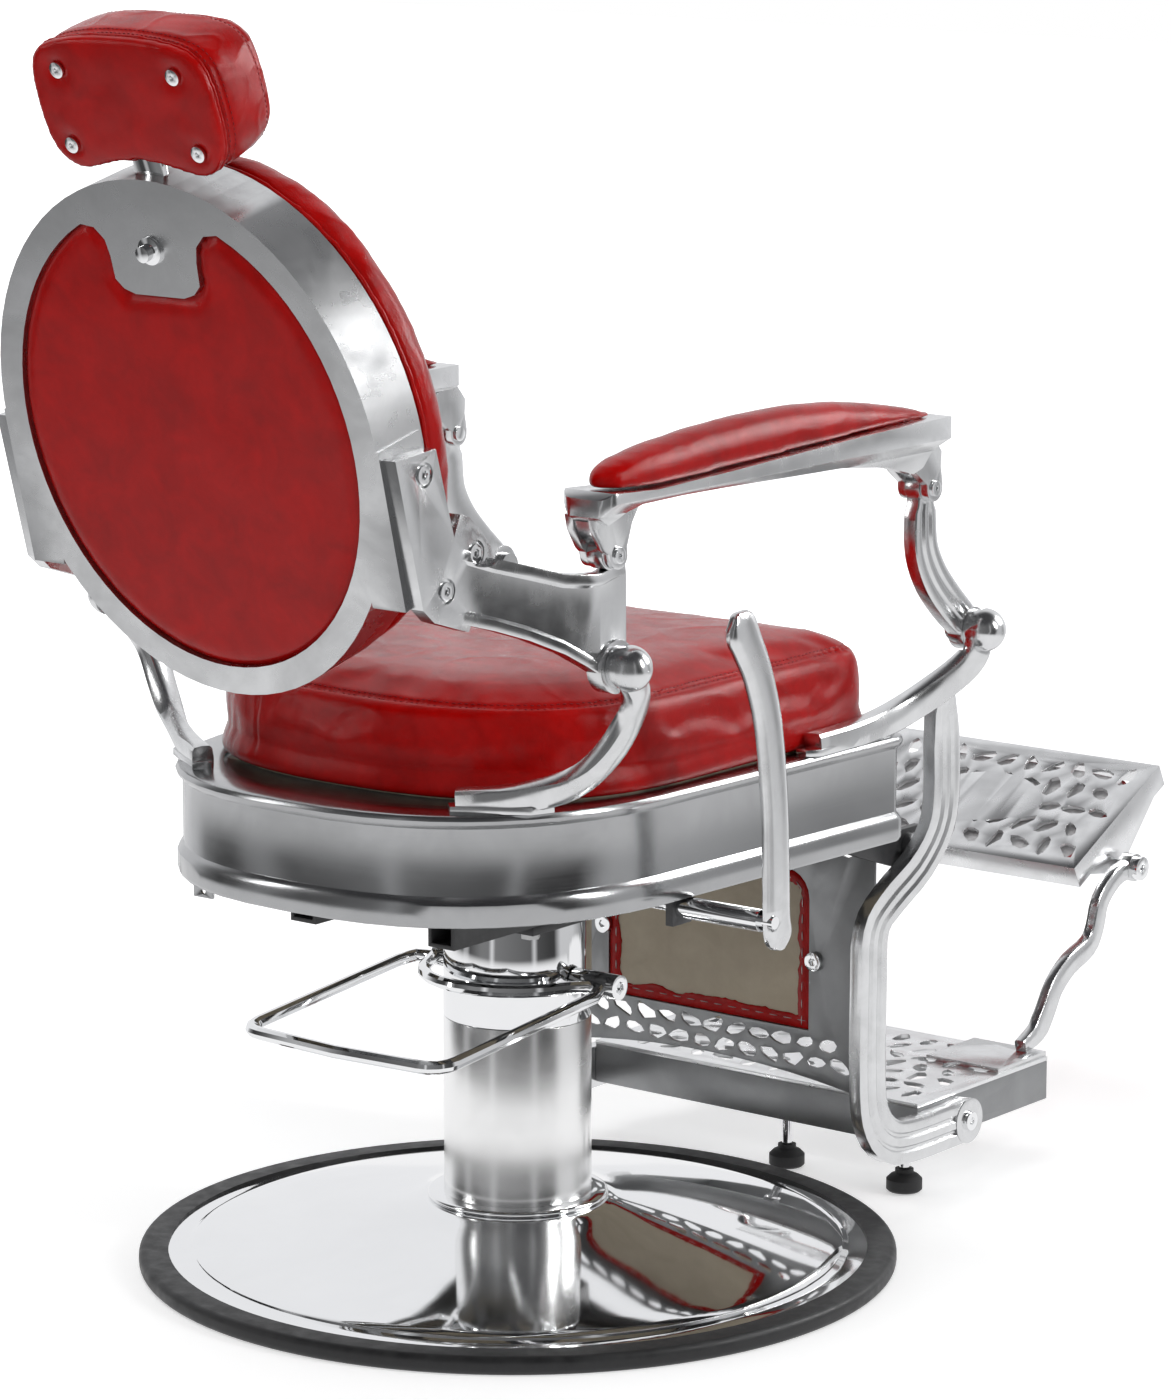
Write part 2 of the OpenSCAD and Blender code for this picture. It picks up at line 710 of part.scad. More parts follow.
// Four pins with domed caps; each carries a link beside its arm
module ball_pivot_pins() color("#dfe2e6") {
    for (at = [recline, front_ball]) both_sides() {
        along_x(at, link_x - 5, cap_x, pivot_r);
        along_x(at, link_x - 8, link_x - clear, pivot_r + 5);
        translate([cap_x, at.x, at.y]) rotate([0, 90, 0]) rotate_extrude()
            polygon(concat([[0, 0]], arc([0, 0], ball_r, 0, 90, 12)));
    }
}

// ---------------------------------------------------------------- legs

leg_path = spline([[266, -291, 528], [257, -303, 508], [249, -318, 470], [247, -322, 420], [244, -318, 385],
    [232, -305, 350], [214, -285, 318], [leg_mid + 1, -273, 290], [leg_mid, -271, 240], [leg_mid, -271, 140],
    [leg_mid, -280, leg_foot_z + 30], [leg_mid, -305, leg_foot_z + 7], [leg_mid, -345, leg_foot_z],
    [leg_mid, foot_bolt.x, foot_bolt.y]], 3);

module leg_castings() color("#c4c7cb") {
    n = len(leg_path) - 1;
    wide = [for (i = [0 : n]) i < 6 ? lerp(28, leg_w, i / 6) : leg_w];
    both_sides() difference() {
        union() {
            bar(leg_path, [for (p = leg_path) leg_t], wide, ribbed_section);
            along_x([-311, hanger_z], hanger_x + hanger_t, 239, 14);
            along_x(foot_bolt, leg_x + foot_step, leg_x + leg_t + foot_step, leg_w / 2 + 1);
        }
        s_arm(front_arm_path, front_ball, [[0, 0], [1, 0], [0, 1]], 34 + 2 * clear);
        along_x(foot_bolt, leg_x - 1, leg_x + leg_t + foot_step + 1, screw_r);
        along_x(foot_bolt, leg_x + leg_t, leg_x + leg_t + foot_step + 1, screw_r + 4);
    }
}

// Holes with soft irregular outlines, in rows set off from each other by half a pitch
module organic_holes(x0, x1, z0, z1, nx, nz, size, turn = 90) {
    dx = (x1 - x0) / (nx + 0.5);
    dz = (z1 - z0) / nz;
    for (i = [0 : nx - 1], j = [0 : nz - 1]) let (k = i * nz + j, r1 = size * (0.86 + 0.26 * chance(k + 11)),
            r2 = size * (0.42 + 0.18 * chance(k + 29)), lop = 0.22 * chance(k + 5), phase = 360 * chance(k + 17))
        translate([x0 + dx * (i + 0.5 + 0.5 * (j % 2)), z0 + dz * (j + 0.5)]) rotate(turn * (2 * chance(k + 3) - 1))
            polygon([for (q = [0 : 7]) let (b = 45 * q, m = 1 + lop * cos(3 * b + phase)) [r1 * m * cos(b), r2 * m * sin(b)]]);
}

// Pressed panel: arched lower edge, window behind the calf pad, rows of holes above and below it
module leg_panel() color("#9a9da2") {
    low = 118;
    arch = 18;
    half = leg_x;
    win = 120;
    top = 372;
    translate([0, -panel_y, 0]) rotate([90, 0, 0]) linear_extrude(panel_t) difference() {
        polygon(concat([for (k = [-6 : 6]) [half * k / 6, low + arch * (1 - pow(k / 6, 2))]],
                       [[half, top], [-half, top]]));
        polygon(concat([[-win, calf_bottom + 6], [win, calf_bottom + 6]],
            arc([win - 26, calf_top - 38], 26, 0, 90, 5), arc([-win + 26, calf_top - 38], 26, 90, 180, 5)));
        organic_holes(-170, 170, 137, 173, 12, 2, 12, 24);
        organic_holes(-170, 170, 345, 369, 12, 1, 12, 24);
        for (x = [-1, 1]) translate([x * panel_bolt_x, panel_bolt_z]) circle(r = screw_r, $fn = 24);
    }
}

module calf_board() color("#c9b189") {
    translate([0, -panel_y - panel_t, calf_bottom]) rotate([90, 0, 0]) linear_extrude(calf_board_t)
        polygon(concat([[-calf_half_w, 0], [calf_half_w, 0]],
            arc([calf_half_w - 30, calf_top - calf_bottom - 30], 30, 0, 90, 5),
            arc([30 - calf_half_w, calf_top - calf_bottom - 30], 30, 90, 180, 5)));
}

// Upholstered pad with drawn-in edges and a crowned face
module calf_pad() color("#a3121a") {
    mid = (calf_bottom + calf_top) / 2;
    half_h = (calf_top - calf_bottom) / 2;
    back = -panel_y - panel_t - calf_board_t - clear;
    rings = [[-3, 0], [3, 4], [4, calf_t * 0.4], [2, calf_t * 0.65], [-5, calf_t * 0.82], [-18, calf_t * 0.93], [-45, calf_t]];
    skin([for (r = rings) [for (p = rounded(calf_half_w + r.x, half_h + r.x, 6, 36)) [p.x, back - r.y, mid + p.y]]]);
}

module leg_screws() color("#8d9196") {
    head = 3;
    outer = leg_x + leg_t + foot_step + head;
    both_sides() {
        difference() {
            union() {
                along_x(foot_bolt, leg_x - 6, leg_x + leg_t, screw_r);
                along_x(foot_bolt, leg_x + leg_t, outer, screw_r + 4);
            }
            along_x(foot_bolt, outer - 2, outer + 1, screw_r - 1, 6);
        }
        translate([panel_bolt_x, -panel_y + head, panel_bolt_z]) rotate([90, 0, 0]) difference() {
            union() {
                cylinder(h = head + panel_t, r = screw_r);
                cylinder(h = head, r = screw_r + 4);
            }
            translate([0, 0, -1]) cylinder(h = 3, r = screw_r - 1, $fn = 6);
        }
    }
}

// ---------------------------------------------------------------- foot platform

module platform_skirt() color("#9a9da2") {
    depth = platform_front - platform_rear;
    half = leg_x;
    difference() {
        translate([-half, -platform_front, platform_z - skirt_h]) cube([2 * half, depth, skirt_h - grille_t]);
        translate([-half + skirt_t, -platform_front + skirt_t, 0]) cube([2 * (half - skirt_t), depth - 2 * skirt_t, skirt_top + 1]);
        both_sides() along_x(foot_bolt, leg_x - skirt_t - 1, leg_x + 1, screw_r);
        both_sides() along_x(foot_bolt, leg_x - 6 - 0.01, leg_x - skirt_t, screw_r + 0.01);
    }
    difference() {
        union() {
            translate([-half + skirt_t, leveller_y - 11, rib_z]) cube([2 * (half - skirt_t), 22, rib_h]);
            for (x = leveller_spots) translate([x, leveller_y, rib_z - 6]) cylinder(h = rib_h + 6, r = stud_r + 4);
        }
        for (x = leveller_spots) translate([x, leveller_y, rib_z - 10]) cylinder(h = rib_h + 12, r = stud_r + fit);
    }
}

// Cast tread plate cut through with rows of organic holes around a bare oval
module tread_cutouts(half_w, half_d, nx, ny, size) {
    difference() {
        organic_holes(-half_w, half_w, -half_d, half_d, nx, ny, size);
        polygon(ellipse(64, 40, 36));
    }
}

module platform_grille() color("#b9bcc0") {
    depth = platform_front - platform_rear;
    translate([0, -platform_front + depth / 2, grille_z]) linear_extrude(grille_t) difference() {
        square([2 * leg_x, depth], center = true);
        tread_cutouts(leg_x - 10, depth / 2 - 14, 11, 7, 14);
    }
}

module leveller(x) {
    foot_r = 17.5;
    foot_h = 16;
    neck = 6;
    translate([x, leveller_y, 2]) {
        rotate_extrude() polygon([[0, 0], [foot_r - 2, 0], [foot_r, 2], [foot_r, foot_h - 4], [foot_r - 4, foot_h],
            [9, foot_h + 2], [9, foot_h + neck], [stud_r, foot_h + neck], [stud_r, rib_z + 12], [0, rib_z + 12]]);
    }
}

module leveller_outer() color("#232325") leveller(leveller_spots[0]);
module leveller_inner() color("#232325") leveller(leveller_spots[1]);

// Lock nuts below the rib
module leveller_nuts() color("#c4c7cb") {
    for (x = leveller_spots) translate([x, leveller_y, rib_z - 6 - 8]) difference() {
        cylinder(h = 8, r = 9.5, $fn = 6);
        translate([0, 0, -1]) cylinder(h = 10, r = stud_r + fit);
    }
}

// ---------------------------------------------------------------- flip footrest

flip_path = spline([for (q = [[-flip_y, flip_z], [-738, 252], [-712, 232], [-703, 207], [-690, 190], [-656, 178],
    [-630, 160], [-615, 138], [-599, 120], [-572, 110]]) [flip_mid, q.x, q.y]], 3);

module flip_arms() color("#c4c7cb") {
    n = len(flip_path) - 1;
    both_sides() difference() {
        union() {
            bar(flip_path, [for (i = [0 : n]) flip_arm_t - 1],
                [for (i = [0 : n]) i > n - 4 ? lerp(25, 15, (i - n + 4) / 4) : lerp(20, 27, i / n)], bar_section);
            along_x([-flip_y, flip_z], flip_arm_x, flip_arm_x + flip_arm_t, 14);
            translate([flip_arm_x - 60, -platform_front, platform_z]) cube([leg_x - flip_arm_x + 58, 84, 5]);
        }
        along_x([-flip_y, flip_z], flip_arm_x - 1, flip_arm_x + flip_arm_t + 1, flip_bolt_r);
    }
}

module flip_pivot_bolts() color("#dfe2e6") {
    outer = flip_arm_x + flip_arm_t + 8;
    both_sides() difference() {
        union() {
            along_x([-flip_y, flip_z], tread_half_w - 10, outer - 8, flip_bolt_r);
            along_x([-flip_y, flip_z], outer - 8, outer, 12);
        }
        along_x([-flip_y, flip_z], outer - 4, outer + 1, flip_bolt_r - 1, 6);
    }
}

module flip_tread() color("#c4c7cb") {
    face_t = 4;
    mid = (tread_front + tread_back) / 2;
    wall = 4;
    in_tread() difference() {
        union() {
            translate([0, mid, tread_rise - face_t]) linear_extrude(face_t) difference() {
                square([2 * tread_half_w, tread_len], center = true);
                tread_cutouts(tread_half_w - 9, tread_len / 2 - 11, 10, 5, 14);
            }
            difference() {
                translate([-tread_half_w, tread_front, tread_rise - tread_rim]) cube([2 * tread_half_w, tread_len, tread_rim - face_t]);
                translate([wall - tread_half_w, tread_front + wall, tread_rise - tread_rim - 1])
                    cube([2 * (tread_half_w - wall), tread_len - 2 * wall, tread_rim + 1]);
            }
            both_sides() side_plate([[tread_front + 22, tread_rise - tread_rim], [-13, -2], [-9, -11], [0, -14], [9, -11], [14, 0],
                [tread_back - 22, tread_rise - tread_rim]], tread_half_w - 8, 8);
        }
        along_x([0, 0], -tread_half_w - 1, tread_half_w + 1, flip_bolt_r + fit);
    }
}

// Upholstered underside of the tread, a footrest once the tread is turned over
module flip_pad() color("#a3121a") {
    mid = (tread_front + tread_back) / 2;
    half_l = tread_len / 2 - 5;
    top = tread_rise - tread_rim + 14;
    rings = [[-14, 17], [-6, 15], [-1, 9], [0, 3], [0, 0]];
    in_tread() skin([for (r = rings)
        [for (p = rounded(tread_half_w - 14 + r.x, half_l + r.x, 6, 36)) [p.x, mid + p.y, top - r.y]]]);
}

// ---------------------------------------------------------------- recline lever

module lever_shaft() color("#8d9196") {
    difference() {
        union() {
            along_x([lever_y, lever_z], -shaft_out, -rail_x - rail_w / 2 - 20, lever_shaft_r);
            along_x([lever_y, lever_z], -lever_x + lever_t / 2, -bracket_x - bracket_t - clear, lever_shaft_r + 4);
        }
        along_x([lever_y, lever_z], -shaft_out, -lever_x + lever_t / 2, lever_shaft_r + 1);
    }
    along_x([lever_y, lever_z], -lever_x - lever_t / 2, -lever_x + lever_t / 2, lever_shaft_r - clear);
}

// Flat forged hand lever: a broad round grip above, a waist, and a round eye end below
module recline_lever() color("#c9ccd0") {
    path = spline([for (q = [[lever_y - 17, lever_z - 27], [lever_y - 14, lever_z - 15], [lever_y - 11, lever_z],
        [lever_y - 10, lever_z + 40], [lever_y - 7, lever_z + 105], [lever_y + 3, lever_z + 175], [lever_y + 19, lever_z + 222],
        [lever_y + 33, lever_z + 247], [lever_y + 42, lever_z + 262], [lever_y + 52, lever_z + 277]]) [-lever_x, q.x, q.y]], 3);
    n = len(path) - 1;
    grip = 45;
    waist = 33;
    eye = 38;
    broad = [for (i = [0 : n]) let (t = i / n) t < 0.35 ? lerp(eye, waist, sin(90 * t / 0.35)) : lerp(waist, grip, pow((t - 0.35) / 0.65, 2))];
    // How near each station is to an end, against half the breadth there, makes the ends round
    near = [for (i = [0 : n]) max(0.02, min(1, 2 * min(norm(path[i] - path[0]), norm(path[i] - path[n])) / broad[i]))];
    full = [for (e = near) sqrt(1 - (1 - e) * (1 - e))];
    difference() {
        bar(path, [for (f = full) lever_t * (0.5 + 0.5 * f)], [for (i = [0 : n]) broad[i] * full[i]], rounded(0.5, 0.5, 2.6, 14));
        along_x([lever_y, lever_z], -shaft_out - 1, -lever_x + lever_t, lever_shaft_r - clear);
    }
}

// ---------------------------------------------------------------- back

// Extrudes a plan of the back from one depth to another, measured forward from its rear face
module back_slab(from, to) {
    rotate([90, 0, 0]) translate([0, 0, from]) linear_extrude(to - from) children();
}

module oval(less) {
    polygon(ellipse(back_half_w - less, back_half_h - less));
}

// Tab that hangs into the rear window and carries the headrest clamp
module tab_shape() {
    intersection() {
        polygon([[-tab_half, tab_z + 10], [-tab_half + 8, tab_z + 2], [-tab_half + 20, tab_z - 2], [tab_half - 20, tab_z - 2],
            [tab_half - 8, tab_z + 2], [tab_half, tab_z + 10], [tab_half + 1, tab_z + 30], [tab_half + 4, tab_z + 44],
            [tab_half + 14, tab_z + 54], [tab_half + 30, tab_z + 56], [tab_half + 30, back_half_h], [-tab_half - 30, back_half_h],
            [-tab_half - 30, tab_z + 56], [-tab_half - 14, tab_z + 54], [-tab_half - 4, tab_z + 44], [-tab_half - 1, tab_z + 30]]);
        oval(back_rim - 1);
    }
}

// Deep oval casting: open at the front, turned in to a flat rim at the rear, bosses for the links
module back_frame() color("#b5b8bc") {
    in_back() difference() {
        union() {
            back_slab(0, rim_t) difference() {
                oval(0);
                difference() {
                    oval(back_rim);
                    tab_shape();
                }
            }
            back_slab(rim_t, back_depth) difference() {
                oval(0);
                oval(back_wall);
            }
            intersection() {
                both_sides() translate([back_half_w - 34, 0, 0]) back_slab(0, back_depth - 4)
                    translate([0, -130]) square([plate_x - back_half_w + 34, 140]);
                back_slab(0, back_depth) difference() {
                    square([2 * plate_x, 400], center = true);
                    oval(back_wall);
                }
            }
        }
        rotate([90, 0, 0]) translate([0, clamp_z, -1]) cylinder(h = rim_t + 2, r = clamp_r + fit);
        post_slot(back_wall + 2);
    }
    both_sides() for (q = link_bolt_spots) if (q.z == 1)
        along_x([q.x, q.y], plate_x - 1, plate_x, 6);
}

// Room for the post through the top of the frame
module post_slot(more) {
    translate([-post_w / 2 - clear, -post_y - post_t - clear, back_half_h - back_wall - more])
        cube([post_w + 2 * clear, post_t + 2 * clear, 4 * back_wall]);
}

module back_panel() color("#a3121a") {
    in_back() back_slab(rim_t + pad_gap, rim_t + pad_gap + 3) difference() {
        oval(back_wall + 2);
        translate([0, clamp_z]) circle(r = clamp_r + 1);
    }
}

// Plywood that carries the rear panel on one side and the cushion on the other
module back_board() color("#b08c5c") {
    from = rim_t + pad_gap + 3;
    channel = post_w / 2 + guide_wall + 1;
    in_back() back_slab(back_depth - board_t, back_depth) oval(back_wall + 0.5);
    in_back() back_slab(from, back_depth - board_t) difference() {
        oval(back_wall + 1);
        oval(back_wall + 20);
        translate([-channel, 0]) square([2 * channel, back_half_h]);
    }
}

// Front cushion: tucked under at its back edge, full at the side, crowned in the middle
module back_cushion() color("#a3121a") {
    t = back_pad_t;
    over = back_pad_over;
    rings = [[-6, 0], [over - 1, 3], [over, 12], [over, t * 0.42], [over - 4, t * 0.6], [over - 14, t * 0.76],
             [over - 40, t * 0.9], [over - 90, t * 0.98], [over - 140, t]];
    in_back() skin([for (r = rings)
        [for (p = ellipse(back_half_w + r.x, back_half_h + r.x, 60)) [p.x, -back_depth - clear - r.y, p.y]]]);
}

// Guide channel behind the tab for the headrest post
module headrest_guide() color("#8d9196") {
    half = post_w / 2 + guide_wall;
    in_back() difference() {
        union() {
            translate([-half, -post_y - post_t - guide_wall, tab_z + 6]) cube([2 * half, post_t + post_y - rim_t + guide_wall, back_half_h - back_wall - tab_z - 8]);
        }
        translate([-half - 1, -rim_t - pad_gap - 3 - clear, tab_z]) cube([2 * half + 2, 30, 100]);
        translate([-post_w / 2 - clear, -post_y - post_t - clear, tab_z]) cube([post_w + 2 * clear, post_t + 2 * clear, 120]);
        rotate([90, 0, 0]) translate([0, clamp_z, 0]) cylinder(h = post_y, r = clamp_r + fit);
    }
    in_back() difference() {
        rotate([90, 0, 0]) translate([0, clamp_z, rim_t]) cylinder(h = pad_gap + 3 + clear + 0.01, r = clamp_r + 1);
        rotate([90, 0, 0]) translate([0, clamp_z, 0]) cylinder(h = post_y, r = clamp_r + fit);
    }
}

// Clamp screw: its tip presses on the post, its round head stands behind the tab
module clamp_knob() color("#dfe2e6") {
    in_back() rotate([90, 0, 0]) translate([0, clamp_z, 0]) {
        translate([0, 0, -3]) cylinder(h = post_y - clear + 3, r = clamp_r);
        translate([0, 0, -3]) cylinder(h = 3, r = 12);
        translate([0, 0, -12]) cylinder(h = 9, r = 7);
    }
}

// ---------------------------------------------------------------- back links

// Fork of two flat legs on the frame, and a deep neck swept out to the recline pivot
module back_links() color("#c4c7cb") {
    mid = link_x + link_t / 2;
    neck = link_t - 3;
    plate_mid = plate_x + plate_t / 2;
    stations = [[360, plate_mid, 11, 670, 736], [345, plate_mid + 2, 12, 669, 732], [322, 232, 13, 662, 723],
                [296, 247, 14, 652, 715], [268, 263, 14, 638, 706], [250, 272, 14, 626, 704],
                [236, mid, neck, 616, 704], [222, mid, neck, 606, 707], [206, mid, neck, 604, 709]];
    rim = 9;
    groove = 3.5;
    // The groove ends short of both ends, where the section is slightly crowned instead
    rings = [for (q = stations) let (out = q[1] + q[2] / 2, in = q[1] - q[2] / 2, lo = q[3], hi = q[4],
            end = q[0] > 350 || q[0] < 210, lip = end ? -0.8 : 0.3, g = end ? -1 : groove)
        [for (k = [[out - 0.5, lo], [out, lo + 1], [out - lip, lo + rim], [out - g, lo + rim + 3], [out - g, hi - rim - 3],
                   [out - lip, hi - rim], [out, hi - 1], [out - 0.5, hi], [in, hi], [in, lo]]) [k.x, q[0], k.y]]];
    both_sides() difference() {
        union() {
            side_plate([[432, 815], [381, 820], [358, 744], [350, 762], [338, 758], [322, 744], [308, 728], [303, 714], [340, 662],
                        [384, 676], [398, 688]], plate_x, plate_t);
            skin(rings);
            along_x(recline, link_x, link_x + link_t, ball_r + 3);
            along_x(rear_pin, link_x, link_x + link_t, 13);
        }
        along_x(recline, link_x - 1, link_x + link_t + 1, pivot_r + fit);
        along_x(rear_pin, link_x - 1, link_x + link_t + 1, pin_r + fit);
        for (q = link_bolt_spots) {
            along_x([q.x, q.y], plate_x - 1, 260, link_bolt_r);
            along_x([q.x, q.y], plate_x + plate_t - 4, 270, link_bolt_r + 6);
        }
    }
}

module link_bolts() color("#dfe2e6") {
    outer = plate_x + plate_t + 1;
    both_sides() for (q = link_bolt_spots) difference() {
        union() {
            along_x([q.x, q.y], plate_x, outer - 5, link_bolt_r);
            along_x([q.x, q.y], outer - 5, outer, link_bolt_r + 3);
        }
        along_x([q.x, q.y], outer - 3, outer + 1, link_bolt_r - 1, 6);
    }
}

// ---------------------------------------------------------------- armrests

arm_low = [[arm_rear, 755], [arm_rear - 12, 748], [240, 752], [214, 762], [160, 763], [100, 762], [0, 759], [-76, 757],
           [-150, 749], [-190, 738], [-205, 742], [-222, 760], [-arm_front, 767]];

// Half width of the rail seen from above
function arm_half(y) = arm_w / 2 * (y > arm_rear - 24 ? 0.72 + 0.28 * sqrt(max(0, (arm_rear - y) / 24)) : 1);

// Cast rail, flat on top, with a clevis under each end for the links
module armrest() {
    inner = link_x - lug_t - clear;
    outer = link_x + link_t + clear + 0.5;
    difference() {
        intersection() {
            side_plate(concat(arm_low, arm_high), arm_x - arm_w / 2, arm_w);
            translate([0, 0, 700]) linear_extrude(120) polygon(concat(
                [[arm_x - arm_w / 2, -arm_front], [arm_x + arm_w / 2, -arm_front]],
                arc([arm_x + arm_w / 2 - 14, arm_rear - 14], 14, 0, 90, 5),
                arc([arm_x - arm_w / 2 + 14, arm_rear - 14], 14, 90, 180, 5)));
        }
        // Slanted flanks below the rail's edge
        for (x = [[arm_x + arm_w / 2, 1], [arm_x - arm_w / 2, -1]])
            translate([0, 400, 0]) rotate([90, 0, 0]) linear_extrude(800)
                polygon([[x[0] + x[1], 768], [x[0] + x[1], 700], [x[0] - x[1] * 14, 700], [x[0] - x[1] * 11, 756]]);
        translate([inner - 0.01, 160, 600]) cube([outer - inner + 0.02, 75 + 20, 756 - 600]);
        translate([inner - 0.01, -arm_front - 2, 600]) cube([outer - inner + 0.02, 70, 745 - 600]);
    }
    for (x = [inner, outer]) {
        clevis(x, rear_pin, [[arm_rear - 5, 755], [arm_rear - 8, 742], [arm_pin_y + 18, arm_pin_z + 6], [arm_pin_y + 13, arm_pin_z + 2]], [[arm_pin_y - 11, arm_pin_z + 6], [210, 745], [196, 764]]);
        clevis(x, front_pin, [[-176, 754], [-204, 738], [-link_pin_y + 12, arm_pin_z + 4]],
            [[-link_pin_y - 12, arm_pin_z + 4], [-245, 738], [-246, 752], [-arm_front, 768]]);
    }
}

module clevis(x, at, rear, front) {
    difference() {
        side_plate(concat(rear, arc(at, 12, -10, -170, 8), front), x, lug_t);
        along_x(at, x - 1, x + lug_t + 1, pin_r);
    }
}

module armrest_left() color("#b9bcc0") armrest();
module armrest_right() color("#b9bcc0") mirror([1, 0, 0]) armrest();

module arm_pins() {
    inner = link_x - lug_t - clear;
    outer = link_x + link_t + clear + 0.5 + lug_t;
    for (at = [rear_pin, front_pin]) difference() {
        union() {
            along_x(at, inner, outer, pin_r);
            along_x(at, outer, outer + 2, pin_r + 3);
            along_x(at, inner - 2, inner, pin_r + 3);
        }
        along_x(at, outer - 2, outer + 3, pin_r - 2, 6);
    }
}

module arm_pins_left() color("#8d9196") arm_pins();
module arm_pins_right() color("#8d9196") mirror([1, 0, 0]) arm_pins();

// Pad with a crown along and across, standing just off the rail
module arm_pad() {
    stations = [[250, 775.6, 789, 0.30], [241, 775.4, 796, 0.70], [222, 775.0, 802, 0.92], [188, 773.6, 808, 1], [120, 775.4, 815, 1],
                [50, 778.2, 818, 1], [-20, 780.9, 818, 1], [-80, 783.5, 814, 1], [-140, 785.3, 805, 0.97], [-190, 786.4, 796, 0.9],
                [-216, 787.0, 790, 0.75], [-225, 787.2, 788.5, 0.5]];
    half = arm_w / 2 - 4;
    profile = [[-1, 0], [1, 0], [1.02, 0.35], [0.86, 0.74], [0.5, 0.95], [0, 1], [-0.5, 0.95], [-0.86, 0.74], [-1.02, 0.35]];
    skin([for (q = stations) [for (k = profile)
        [arm_x + k.x * half * q[3], q[0], q[1] + clear + k.y * (q[2] - q[1] - clear)]]]);
}

module arm_pad_left() color("#a3121a") arm_pad();
module arm_pad_right() color("#a3121a") mirror([1, 0, 0]) arm_pad();

// ---------------------------------------------------------------- front links

module front_link() {
    path = spline([for (q = [[-link_pin_y - 1, arm_pin_z - 4], [-237, 690], [-240, 660], [-256, 632], [-281, 607], [-303, 589],
        [-front_pivot_y, front_pivot_z]]) [link_x + link_t / 2, q.x, q.y]], 4);
    n = len(path) - 1;
    difference() {
        union() {
            bar(path, [for (i = [0 : n]) link_t - 0.5], [for (i = [0 : n]) lerp(24, 30, sin(180 * i / n)) + (i > 2 ? 6 : 0)], ribbed_section);
            along_x(front_ball, link_x, link_x + link_t, ball_r);
            along_x(front_pin, link_x, link_x + link_t, 13);
        }
        along_x(front_ball, link_x - 1, link_x + link_t + 1, pivot_r + fit);
        along_x(front_pin, link_x - 1, link_x + link_t + 1, pin_r + open_play);
    }
}

module front_link_left() color("#c4c7cb") front_link();
module front_link_right() color("#c4c7cb") mirror([1, 0, 0]) front_link();

// ---------------------------------------------------------------- headrest

// Kidney outline: full rounded top, shallow hollow along the bottom
head_outline = spline([for (q = [[0, -0.9], [-0.3, -0.96], [-0.62, -1.1], [-0.84, -1.0], [-0.98, -0.6], [-1, 0], [-0.97, 0.5],
    [-0.82, 0.84], [-0.45, 0.99], [0, 1.02], [0.45, 0.99], [0.82, 0.84], [0.97, 0.5], [1, 0], [0.98, -0.6], [0.84, -1.0],
    [0.62, -1.1], [0.3, -0.96]]) [-q.x * head_half_w, q.y * head_half_h]], 2);

function head_ring(less, y) = [for (p = head_outline) let (k = 1 - less / norm(p)) [p.x * k, -y, p.y * k]];

module headrest_board() color("#a3121a") {
    in_head() intersection() {
        skin([head_ring(1, 0), head_ring(0, 2), head_ring(0, head_board_t)]);
        difference() {
            translate([-head_half_w - 9, -head_board_t - 1, -90]) cube([2 * head_half_w + 18, head_board_t + 2, 180]);
            for (q = head_screw_spots) rotate([90, 0, 0]) translate([q.x, q.y, -1]) cylinder(h = head_board_t + 2, r = head_screw_r);
        }
    }
}

module headrest_cushion() color("#a3121a") {
    from = head_board_t + clear;
    d = head_depth;
    in_head() skin([head_ring(2, from), head_ring(-1, from + 4), head_ring(-2, from + 14), head_ring(-1, d * 0.6),
        head_ring(2, d * 0.82), head_ring(9, d * 0.95), head_ring(22, d * 1.01), head_ring(40, d * 1.03)]);
}

module headrest_screws() color("#dfe2e6") {
    head = 2.5;
    in_head() for (q = head_screw_spots) rotate([90, 0, 0]) translate([q.x, q.y, -head]) difference() {
        union() {
            cylinder(h = head, r = head_screw_r + 3.5);
            cylinder(h = head + head_board_t, r = head_screw_r);
        }
        translate([0, 0, -1]) cylinder(h = head, r = head_screw_r - 1, $fn = 6);
    }
}

// Flat post from the guide up to the underside of the headrest board
module headrest_post() color("#c4c7cb") {
    bottom = tab_z + 12;
    difference() {
        in_back() translate([-post_w / 2, -post_y - post_t, bottom]) cube([post_w, post_t, 165]);
        in_head() translate([-100, -200, -head_half_h * 0.95]) cube([200, 220, 300]);
    }
}

base_ring();
base_bottom_plate();
base_dome();
column_collar();
column_lower_cover();
column_guide_bush();
piston_rod();
base_bolts();
lift_cylinder();
pump_head();
column_upper_cover();
thrust_washer();
spindle_cap();
pump_axle();
pump_lever();
turntable_plate();
seat_chassis();
chassis_bolts();
seat_band();
seat_board();
seat_cushion();
rear_arms();
front_arms();
ball_pivot_pins();
leg_castings();
leg_panel();
calf_board();
calf_pad();
leg_screws();
platform_skirt();
platform_grille();
leveller_nuts();
leveller_outer();
leveller_inner();
flip_arms();
flip_pivot_bolts();
flip_tread();
flip_pad();
lever_shaft();
recline_lever();
back_frame();
back_panel();
back_board();
back_cushion();
headrest_guide();
clamp_knob();
back_links();
link_bolts();
armrest_left();
armrest_right();
arm_pins_left();
arm_pins_right();
arm_pad_left();
arm_pad_right();
front_link_left();
front_link_right();
headrest_board();
headrest_cushion();
headrest_screws();
headrest_post();
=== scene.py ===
import math

import bpy
import bmesh
from mathutils import Matrix, Vector, noise
from mathutils.bvhtree import BVHTree
from mathutils.kdtree import KDTree


